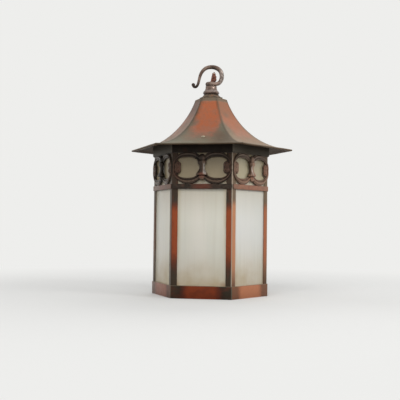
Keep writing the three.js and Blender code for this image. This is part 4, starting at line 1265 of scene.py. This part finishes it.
    def panel(self) -> Shape:
        """Joins the parts, drawn with Z outwards, and stands the panel up on the front face."""
        half = half_side(self.back) - self.rail_short
        rail_middle = (self.rail_low + self.rail_high) / 2 - self.middle
        rail = Shape().block(
            Vector((2 * half, self.rail_high - self.rail_low, 2 * self.rail_relief)),
            Vector((0.0, rail_middle, 0.0)),
        ).softened(0.7, 4)
        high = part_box("frieze_1")[1].z / MM
        tongue = Shape().block(
            Vector((2 * half_side(self.back + self.plate), high - self.tongue_low, self.plate)),
            Vector((0.0, (high + self.tongue_low) / 2 - self.middle, self.plate / 2)),
        )
        parts = [tongue, self.baluster()]
        ring, volute = self.ring(), self.volute()
        web = Shape().block(
            Vector((1.9 * self.volute_radius, 2.0 * self.volute_rise, self.leaf_relief)),
            Vector((self.volute_at, 0.0, self.leaf_relief / 2)),
        ).softened(0.3, 2)
        for side in (-1, 1):
            turned = Matrix.Diagonal((side, 1.0, 1.0, 1.0))
            centre = Matrix.Translation((side * self.ring_spread, 0.0, 0.0))
            parts.append(ring.copied(centre @ turned))
            parts.append(web.copied(turned))
            for rise in (-1, 1):
                flip = Matrix.Diagonal((side, rise, 1.0, 1.0))
                place = Matrix.Translation((side * self.volute_at, rise * self.volute_rise, 0.0))
                parts.append(volute.copied(place @ flip))
        above = Shape().block(
            Vector((220.0, 40.0, 40.0)),
            Vector((0.0, self.collar_low + 20.0 - self.middle, 20.0 + self.plate)),
        )
        upright = Matrix.Rotation(math.pi / 2, 4, "X")
        place = Matrix.Translation((0.0, -self.back, self.middle)) @ upright
        panel = rail.joined(Joining.ADD, parts).joined(Joining.CUT, [above]).moved(place)
        near, far = self.back, self.back + 60.0
        trim = LIFT / 2 / math.cos(HALF_SECTOR)
        wedge = Shape().prism([
            (-half_side(near) + trim, -near), (-half_side(far) + trim, -far),
            (half_side(far) - trim, -far), (half_side(near) - trim, -near),
        ], self.rail_low - 1.0, high + 1.0)
        return panel.joined(Joining.KEEP, [wedge])


@dataclass
class Roof:
    """The flared roof with its hem, cap, brackets and screws."""

    bench: Bench
    brim_corner: float = 142.45
    brim_height: float = 252.2
    brim_pull: float = 84.0
    brim_lift: float = 5.0
    shoulder: Point = (28.2, 339.6)
    shoulder_pull: float = 3.0
    crown: Point = (20.0, 342.2)
    sheet: float = 1.0
    hem_depth: float = 3.0
    hem_width: float = 9.0
    hem_steps: int = 6
    dents: tuple[Point, ...] = ((34.0, 0.7), (12.0, 0.25))  # widths and heights
    dent_reach: float = 60.0  # distance from the axis at which they are full
    dent_at_hip: float = 0.35  # how much of them is left at the hips
    bore: float = 5.45
    cap_corners: Point = (20.4, 13.4)  # distances of the cap's corners, at its foot and top
    screw_apothem: float = 78.09
    screw_head: float = 3.4
    screw_rise: float = 2.0
    screw_seat: float = 0.6
    line_steps: int = 44
    across_steps: int = 9

    def build(self) -> None:
        """Makes the whole roof."""
        self.shell()
        self.cap()
        for i in range(3):
            self.screw(i)
            self.bench.dress(f"roof_bracket_{i + 1}", INNER_SHEET)

    def hip_line(self) -> list[Vector]:
        """Gives the hip from the brim to the shoulder, as corner distance and height."""
        nose = corner_of(self.hem_depth / 2)
        brim = Vector((self.brim_corner - nose, self.brim_height, 0.0))
        flare = Vector((brim.x - self.brim_pull, self.brim_height + self.brim_lift, 0.0))
        top = Vector((*self.shoulder, 0.0))
        neck = top - Vector((0.0, self.shoulder_pull, 0.0))
        return geometry.interpolate_bezier(brim, flare, neck, top, self.line_steps + 1)

    def slope(self) -> list[tuple[Vector, Vector]]:
        """Gives points of a face's slope with their inward normals, as apothem and height."""
        line = [Vector((point.x * math.cos(HALF_SECTOR), point.y)) for point in self.hip_line()]
        places = []
        for i, point in enumerate(line):
            along = line[min(i + 1, len(line) - 1)] - line[max(i - 1, 0)]
            places.append((point, Vector((-along.y, along.x)).normalized() * -1))
        return [(point, normal if normal.y < 0 else -normal) for point, normal in places]

    def shell(self) -> None:
        """Makes the sheet with its folded hem, dented a little by hand."""
        slope = self.slope()
        profile: list[Point] = []
        point, normal = slope[0]
        radius = self.hem_depth / 2
        nose = point + normal * radius
        out = Vector((-normal.y, normal.x))
        for i in range(self.hem_steps - 1, 0, -1):
            turn = i / self.hem_steps * math.pi
            around = nose - normal * radius * math.cos(turn) + out * radius * math.sin(turn)
            profile.append(tuple(around))
        profile.extend(tuple(place) for place, _ in slope)
        crown, top = self.crown[0] * math.cos(HALF_SECTOR), self.crown[1]
        profile += [
            (crown, top), (self.bore, top), (self.bore, top - self.sheet),
            (crown - self.sheet / 2, top - self.sheet),
        ]
        hem_end = slope[0][0].x - self.hem_width
        for place, inward in reversed(slope):
            depth = self.sheet if place.x < hem_end else self.hem_depth
            under = place + inward * depth
            profile.append((under.x, min(under.y, self.shoulder[1] - self.sheet)))
        shape = Shape().six_sided(profile)
        self._divide(shape)
        self._dent(shape)
        piece = shape.finished("roof_shell", 38.0)
        self.bench.fit(piece, "sheet_copper", [ROOF_SHEET, INNER_SHEET], ["roof"])
        for face in piece.data.polygons:
            face.material_index = 1 if face.normal.z < -0.05 else 0

    def _divide(self, shape: Shape) -> None:
        """Cuts the faces across, so that they can take dents."""
        level = []
        for edge in shape.mesh.edges:
            start, end = (vert.co for vert in edge.verts)
            flat = abs(start.z - end.z) < MERGE and start.xy.length - end.xy.length < MERGE
            wide = abs(start.xy.angle_signed(end.xy)) > HALF_SECTOR
            if flat and wide and edge.calc_length() > 0.9 * self.bore:
                level.append(edge)
        bmesh.ops.subdivide_edges(
            shape.mesh, edges=level, cuts=self.across_steps, use_grid_fill=True
        )

    def _dent(self, shape: Shape) -> None:
        """Moves points up or down by a little, least at the hips and the peak."""
        for vert in shape.mesh.verts:
            flat = Vector((vert.co.x, vert.co.y, 0.0))
            angle = math.atan2(vert.co.y, vert.co.x) % SECTOR
            inwards = min(angle, SECTOR - angle) / HALF_SECTOR
            outwards = min(flat.length / self.dent_reach, 1.0)
            swell = sum(
                noise.noise(flat / width + Vector((5, 5, 5)) * i) * height
                for i, (width, height) in enumerate(self.dents)
            )
            left = self.dent_at_hip + (1 - self.dent_at_hip) * inwards
            vert.co.z += swell * outwards * left

    def cap(self) -> None:
        """Makes the six-sided cap over the peak."""
        low, high = (corner.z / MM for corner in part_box("roof_cap"))
        foot, top = (corner * math.cos(HALF_SECTOR) for corner in self.cap_corners)
        rise, waist = high - low, foot - top
        outer = [(foot, low + 0.16 * rise)] + profile_through([
            (foot - 0.3, low + 0.26 * rise), (foot - 0.48 * waist, low + 0.42 * rise),
            (foot - 0.75 * waist, low + 0.68 * rise), (top, high),
        ], 4)
        profile = [(foot - 1.0, low), (foot, low), *outer, (self.bore, high)]
        profile += [(self.bore, high - self.sheet), (top - self.sheet, high - self.sheet)]
        shape = Shape().six_sided(profile)
        piece = shape.softened(0.2, 2, 40.0).finished("peak_cap", 50.0)
        self.bench.fit(piece, "patina_copper", [GREENED], ["roof_cap"])

    def screw(self, index: int) -> None:
        """Makes a round-headed, slotted screw square to the roof."""
        point, normal = min(self.slope(), key=lambda place: abs(place[0].x - self.screw_apothem))
        head, seat, rise = self.screw_head, self.screw_seat, self.screw_rise
        dome = profile_through([
            (head, seat), (0.93 * head, seat + 0.45 * rise), (0.6 * head, seat + 0.86 * rise),
            (0.0, seat + rise),
        ], 4)
        profile = [(0.0, -5.0), (1.7, -5.0), (1.7, seat), *dome]
        slot = Shape().block(Vector((0.8, 10.0, 1.6)), Vector((0.0, 0.0, seat + rise)))
        shape = Shape().spun(profile, 32).joined(Joining.CUT, [slot])
        tilt = Matrix.Rotation(math.atan2(-normal.x, -normal.y), 4, "X")
        place = Matrix.Translation((0.0, -point.x, point.y))
        turn = Matrix.Rotation(index * 2 * SECTOR, 4, "Z")
        spin = Matrix.Rotation(0.5 + index, 4, "Z")
        piece = shape.moved(turn @ place @ tilt @ spin).finished(f"screw_{index + 1}")
        self.bench.fit(piece, "bronze", [SCREW], [f"roof_screw_{index + 1}"])


@dataclass
class Hanger:
    """Hub, hook, nipple, washer, nut and the leads' ends."""

    bench: Bench
    bore: float = 5.45
    eye_low: float = 363.9
    eye_high: float = 370.9
    eye_radius: float = 10.2
    nipple_radius: float = 5.15
    nipple_bore: float = 3.6
    nipple_low: float = 303.2
    nipple_high: float = 369.5
    thread_pitch: float = 1.5
    thread_depth: float = 0.55
    thread_radius: float = 0.5
    thread_short: float = 1.0  # how far the thread stops short of the nipple's ends
    lead_low: float = 289.0
    lead_high: float = 387.3
    lead_stagger: float = 2.6
    lead_radius: float = 1.55
    lead_swell: float = 1.5
    lead_twist: float = 1.75
    lead_pitch: float = 22.4
    lead_lean: float = 4.5
    lead_spread: float = 2.5
    lead_bend: float = 6.0
    lead_wind: float = 1.6  # how far the frayed ends turn round each other, in radians
    lead_fray: Point = (3.1, 0.9)  # length and depth of the lumps in the frayed part
    strands: int = 5
    strand_radius: float = 0.32
    strand_ring: float = 0.7  # how far from the lead's middle the strands start
    strand_splay: float = 0.5
    strand_length: Point = (2.6, 0.3)  # the shortest, and the step to a longer one
    terminal_spread: float = 10.0

    def build(self) -> None:
        """Makes all of it."""
        self.hub()
        self.hook()
        self.nipple()
        for i in range(2):
            self.lead(i)
        for name in ("roof_washer", "lock_nut"):
            self.bench.dress(name, BRASS)

    def hub(self) -> None:
        """Makes the turned hub."""
        line = profile_through([
            (12.6, 348.7), (13.2, 349.7), (14.1, 350.8), (14.3, 351.8), (13.9, 352.9),
        ], 3) + profile_through([
            (13.3, 353.3), (13.4, 353.9), (13.0, 354.7), (12.4, 355.1),
        ], 3) + profile_through([
            (12.0, 355.4), (11.0, 357.2), (10.2, 359.2), (9.8, 361.2), (10.1, 362.6), (9.8, 363.5),
        ], 4)
        profile = [(self.bore, 348.6), (12.2, 348.6), *line, (self.bore, 363.6)]
        piece = Shape().spun(profile, 72, True).finished("turned_hub", 40.0)
        self.bench.fit(piece, "bronze", [BRONZE], ["hub"])

    def hook(self) -> None:
        """Makes the hook, a rod that leaves its eye, turns over and ends in a scroll."""
        middle = (self.eye_low + self.eye_high) / 2
        half_wide = (self.eye_radius - self.bore) / 2
        half_tall = (self.eye_high - self.eye_low) / 2
        steps = 24
        section = []
        for i in range(steps):
            turn = 2 * math.pi * i / steps
            section.append((
                self.bore + half_wide * (1 + math.cos(turn)), middle + half_tall * math.sin(turn)
            ))
        eye = Shape().spun(section, 64, True)
        points = [
            (-2.4, -7.6, 367.1), (4.4, -7.0, 366.9), (9.8, -4.9, 367.0), (14.2, -2.2, 369.3),
            (17.4, -0.4, 374.2), (18.6, 0.0, 380.9), (17.2, 0.0, 388.2), (12.6, 0.0, 393.9),
            (6.0, 0.0, 397.1), (-1.4, 0.0, 397.9), (-8.2, 0.0, 396.7), (-13.6, 0.0, 393.3),
            (-17.2, 0.0, 388.8), (-19.4, 0.0, 384.3), (-21.1, 0.0, 378.3), (-22.8, 0.0, 371.0),
            (-24.4, 0.0, 366.4), (-27.2, 0.0, 363.6), (-30.6, 0.0, 363.9), (-32.2, 0.0, 366.4),
        ]
        path = curve_through([Vector(point) for point in points], 7)

        def thickness(share: float) -> float:
            swell = 3.35 + 0.5 * math.sin(min(share / 0.36, 1.0) * math.pi / 2)
            return swell if share < 0.4 else swell - 1.45 * min((share - 0.4) / 0.4, 1.0)

        rod = Shape().swept(path, thickness, 20)
        ball = Shape().ball(3.2, Vector((-31.9, 0.0, 367.3)), 28)
        bore, below = (
            Shape().spun([(0.0, low), (radius, low), (radius, high), (0.0, high)], 64)
            for radius, low, high in ((self.bore, 350.0, 380.0), (14.4, 340.0, self.eye_low))
        )
        shape = eye.joined(Joining.ADD, [rod]).joined(Joining.CUT, [bore, below])
        shape = shape.joined(Joining.ADD, [ball])
        piece = shape.finished("scroll_hook", 60.0)
        self.bench.fit(piece, "bronze", [BRONZE], ["hook"], Body.HOOK)

    def nipple(self) -> None:
        """Makes the hollow nipple with its thread."""
        root = self.nipple_radius - self.thread_depth
        low, high = self.nipple_low, self.nipple_high
        tube = Shape().spun([
            (self.nipple_bore, low), (root, low), (root, high), (self.nipple_bore, high),
        ], 48, True)
        turns = int((high - low - 2 * self.thread_short) / self.thread_pitch)
        steps = 24
        path = []
        for i in range(turns * steps + 1):
            turn = 2 * math.pi * i / steps
            height = low + self.thread_short + self.thread_pitch * i / steps
            path.append(Vector((root * math.cos(turn), root * math.sin(turn), height)))
        thread = Shape().swept(path, lambda share: self.thread_radius, 5, False)
        shape = tube.joined(Joining.ADD, [thread])
        self.bench.fit(shape.finished("threaded_nipple", 40.0), "brass", [BRASS], ["nipple"])

    def lead(self, index: int) -> None:
        """Makes a lead that twists round the other, leans over and ends in bare strands."""
        side = 1 if index else -1
        top = self.lead_high - index * self.lead_stagger
        gathered = self.nipple_low - LIFT
        path, sizes = [], []
        steps = 110
        for i in range(steps + 1):
            height = self.lead_low + (i / steps) * (top - self.lead_low)
            splay = max(0.0, (gathered - height) / (gathered - self.lead_low))
            above = height - self.nipple_high
            away = self.lead_twist + splay ** 2 * (self.terminal_spread - self.lead_twist)
            turn = (height - self.lead_low) / self.lead_pitch * 2 * math.pi * (1 - splay)
            turn += index * math.pi
            twisted = Vector((away * math.cos(turn), away * math.sin(turn), height))
            wound = self.lead_wind * max(above, 0.0) / (self.lead_high - self.nipple_high)
            aside = side * self.lead_spread
            leant = Vector((
                self.lead_lean + aside * math.cos(wound), -aside * math.sin(wound), height
            ))
            path.append(twisted.lerp(leant, smooth(above / (self.lead_bend * (1 - 0.2 * side)))))
            swell = smooth((above / self.lead_bend - 0.25) / 0.75)
            lumps, depth = self.lead_fray
            fray = depth * swell * noise.noise(Vector((height / lumps, 7.0 * index, 0.0)))
            sizes.append(self.lead_radius + self.lead_swell * swell + fray)
        shape = Shape().swept(path, lambda share: sizes[round(share * steps)], 14, False)
        shortest, longer = self.strand_length
        for i in range(self.strands):
            turn = 2 * math.pi * i / self.strands
            aim = Vector((math.cos(turn), math.sin(turn), 0.0))
            start = path[-1] + self.strand_ring * aim - Vector((0.0, 0.0, 1.0))
            tip = start + self.strand_splay * aim
            tip.z += shortest + longer * (i % 3)
            strand = [start, start.lerp(tip, 0.6), tip]
            shape.swept(strand, lambda share: self.strand_radius, 8)
        piece = shape.finished(f"cloth_lead_{index + 1}", 40.0)
        self.bench.fit(piece, "cloth", [BRAID, STRAND], [f"lead_{index + 1}"])
        for face in piece.data.polygons:
            if face.center.z > (top + 0.02) * MM:
                face.material_index = 1


@dataclass
class Lamp:
    """Lamp holder and bulb under the roof."""

    bench: Bench
    cap_low: float = 285.2
    cap_high: float = 312.2
    cap_rim: float = 18.1
    skin: float = 0.8
    bore: float = 5.45
    neck: float = 8.2
    shell_low: float = 246.2
    shell_high: float = 290.2
    shell_radius: float = 17.0
    bulb_tip: float = 158.9
    bulb_radius: float = 30.0
    bulb_top: float = 253.9
    bulb_neck: float = 12.6

    def build(self) -> None:
        """Makes all of it."""
        self.holder()
        self.bulb()
        kept = {
            "screw_shell": BRASS, "centre_contact": BRASS, "terminal_screw_1": BRASS,
            "terminal_screw_2": BRASS, "bulb_cap": BRASS, "porcelain_base": PORCELAIN,
            "bulb_foot": PORCELAIN, "insulating_sleeve": FIBRE,
        }
        for name, finish in kept.items():
            self.bench.dress(name, finish)

    def holder(self) -> None:
        """Makes the holder's cap and its beaded shell."""
        rim, inside = self.cap_rim, self.cap_rim - self.skin
        outer = profile_through([
            (rim, 0.27), (0.985 * rim, 0.34), (0.92 * rim, 0.42), (0.72 * rim, 0.53),
            (0.53 * rim, 0.61), (self.neck, 0.7),
        ], 4)
        line = [
            (inside, 0.0), (rim, 0.0), *outer, (self.neck, 1.0), (self.bore, 1.0),
            (self.bore, 0.61), (0.865 * rim, 0.375), (inside, 0.25),
        ]
        rise = self.cap_high - self.cap_low
        profile = [(radius, self.cap_low + share * rise) for radius, share in line]
        cap = Shape().spun(profile, 64, True).softened(0.2, 2, 50.0)
        self.bench.fit(cap.finished("holder_top"), "brass", [BRASS], ["holder_cap"])
        radius = self.shell_radius
        low, high = self.shell_low, self.shell_high
        bead = profile_through([
            (radius, low), (radius + 0.7, low + 0.6), (radius + self.skin, low + 1.5),
            (radius + 0.7, low + 2.6), (radius, low + 3.6),
        ], 3)
        rib = profile_through([
            (radius, low + 12.0), (radius + 0.5, low + 13.0), (radius, low + 14.0),
        ], 3)
        line = [(radius - self.skin, low), *bead, *rib, (radius, high), (radius - self.skin, high)]
        shell = Shape().spun(line, 64, True)
        self.bench.fit(shell.finished("holder_tube"), "brass", [BRASS], ["holder_shell"])

    def bulb(self) -> None:
        """Makes the frosted glass of the bulb."""
        radius, centre = self.bulb_radius, self.bulb_tip + self.bulb_radius
        line = [(0.0, self.bulb_tip)]
        for degrees in (-75, -60, -45, -30, -15, 0, 15, 28):
            turn = math.radians(degrees)
            line.append((radius * math.cos(turn), centre + radius * math.sin(turn)))
        line += [(21.8, 216.0), (16.8, 230.0), (13.6, 240.5), (self.bulb_neck, 248.0)]
        line.append((self.bulb_neck, self.bulb_top))
        outer = profile_through(line, 3)
        inner = [(max(radius - self.skin, 0.0), height) for radius, height in reversed(outer)]
        inner[-1] = (0.0, self.bulb_tip + self.skin)
        piece = Shape().spun(outer + inner, 64).finished("bulb_envelope", 60.0)
        self.bench.fit(piece, "frosted_glass", [FROST], ["bulb_glass"])


@dataclass
class Studio:
    """Camera, floor, backdrop and lamps."""

    eye: Triple = (206.774, -1332.941, 119.188)
    right: Triple = (0.98612, 0.16566, 0.01122)
    forward: Triple = (-0.16595, 0.98557, 0.03340)
    target: Triple = (0.0, 0.0, 0.2)  # what the lamps point at, in metres
    lens: float = 69.563
    sensor: float = 36.0
    backdrop: Colour = rgb(238, 238, 236)
    sky: Colour = rgb(246, 246, 248)
    ambient: float = 0.4
    bounce: Colour = rgb(96, 95, 93)
    paving: Colour = rgb(204, 204, 202)

    def build(self) -> None:
        """Sets everything up."""
        self.camera()
        self.world()
        self.floor()
        self.lamp("skylight", (-0.1, -1.1, 1.5), 1.1, 17.0)
        self.lamp("room", (0.35, -1.75, 0.12), 1.4, 10.0)
        self.lamp("window", (1.2, -0.55, 1.12), 0.5, 8.0).visible_glossy = True
        self.lamp("doorway", (1.65, 0.6, 0.5), 1.4, 10.0)
        self.lamp("wall", (-1.6, 0.4, 0.6), 1.2, 10.0)
        self.lamp("back", (0.1, 1.1, 1.5), 1.1, 10.0)
        bpy.context.scene.view_settings.view_transform = "Standard"

    def camera(self) -> None:
        """Stands the camera where the photograph was taken."""
        forward = Vector(self.forward).normalized()
        right = (Vector(self.right) - Vector(self.right).dot(forward) * forward).normalized()
        up = right.cross(forward)
        turn = Matrix((right, up, -forward)).transposed()
        data = bpy.data.cameras.new("camera")
        data.lens = self.lens
        data.sensor_width = self.sensor
        data.clip_end = 100.0
        camera = bpy.data.objects.new("camera", data)
        camera.matrix_world = Matrix.Translation(Vector(self.eye) * MM) @ turn.to_4x4()
        bpy.context.scene.collection.objects.link(camera)
        bpy.context.scene.camera = camera

    def seen(self, nodes: Nodes) -> Field:
        """Gives 1 to rays from the camera and to those that metal and glass send on."""
        total = nodes.made("LightPath", "Is Camera Ray")
        path = total.socket.node
        for name in ("Is Glossy Ray", "Is Transmission Ray"):
            total = total.math("MAXIMUM", Field(nodes, path.outputs[name]))
        return total

    def world(self) -> None:
        """Lights the room softly and shows a pale backdrop."""
        world = bpy.data.worlds.new("room")
        bpy.context.scene.world = world
        world.use_nodes = True
        nodes = Nodes(world.node_tree)
        room = nodes.tree.nodes["Background"]
        room.inputs["Color"].default_value = self.sky
        room.inputs["Strength"].default_value = self.ambient
        pale = nodes.made("Background", 0, {"Color": self.backdrop})
        dim = Field(nodes, room.outputs[0])
        mix = nodes.made("MixShader", 0, {0: self.seen(nodes), 1: dim, 2: pale})
        nodes.feed(nodes.tree.nodes["World Output"].inputs["Surface"], mix)

    def floor(self) -> None:
        """Lays a pale floor that keeps the lantern's shadow and fades into the backdrop."""
        shape = Shape()
        bmesh.ops.create_circle(shape.mesh, cap_ends=True, segments=96, radius=30000.0)
        piece = shape.finished("floor")
        painter = Painter("floor")
        painter.colour = painter.blend(self.seen(painter), self.bounce, self.paving)
        painter.shine(roughness=0.9, gloss=0.1)
        glow = painter.made("Emission", 0, {"Color": self.backdrop})
        away = painter.made("VectorMath", "Value", {0: painter.place}, operation="LENGTH")
        fade = self.seen(painter) * away.rise(0.22, 0.95)
        paved = Field(painter, painter.skin.outputs[0])
        mix = painter.made("MixShader", 0, {0: fade, 1: paved, 2: glow})
        painter.feed(painter.tree.nodes["Material Output"].inputs["Surface"], mix)
        piece.data.materials.append(painter.material)

    def lamp(self, name: str, place: Triple, size: float, power: float) -> bpy.types.Object:
        """Hangs a soft square lamp that points at the lantern and doesn't glint in metal.

        Args:
            name: What the lamp stands for.
            place: Where it hangs, in metres.
            size: Its side, in metres.
            power: Its power, in watts.

        Returns:
            The lamp.
        """
        data = bpy.data.lights.new(name, "AREA")
        data.size = size
        data.energy = power
        lamp = bpy.data.objects.new(name, data)
        aim = Vector(self.target) - Vector(place)
        turn = aim.to_track_quat("-Z", "Y").to_matrix().to_4x4()
        lamp.matrix_world = Matrix.Translation(place) @ turn
        lamp.visible_glossy = False
        bpy.context.scene.collection.objects.link(lamp)
        return lamp


def main() -> None:
    """Builds the lantern round its solids."""
    logging.basicConfig(level=logging.INFO, format="%(name)s %(message)s")
    for old in list(bpy.data.objects):
        bpy.data.objects.remove(old)
    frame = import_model()
    Studio().build()
    bench = Bench(frame["nodes"])
    for part in (Housing(bench), Frieze(bench), Roof(bench), Hanger(bench), Lamp(bench)):
        log.info("building the %s", type(part).__name__.lower())
        part.build()
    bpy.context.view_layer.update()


if __name__ == "__main__":
    main()
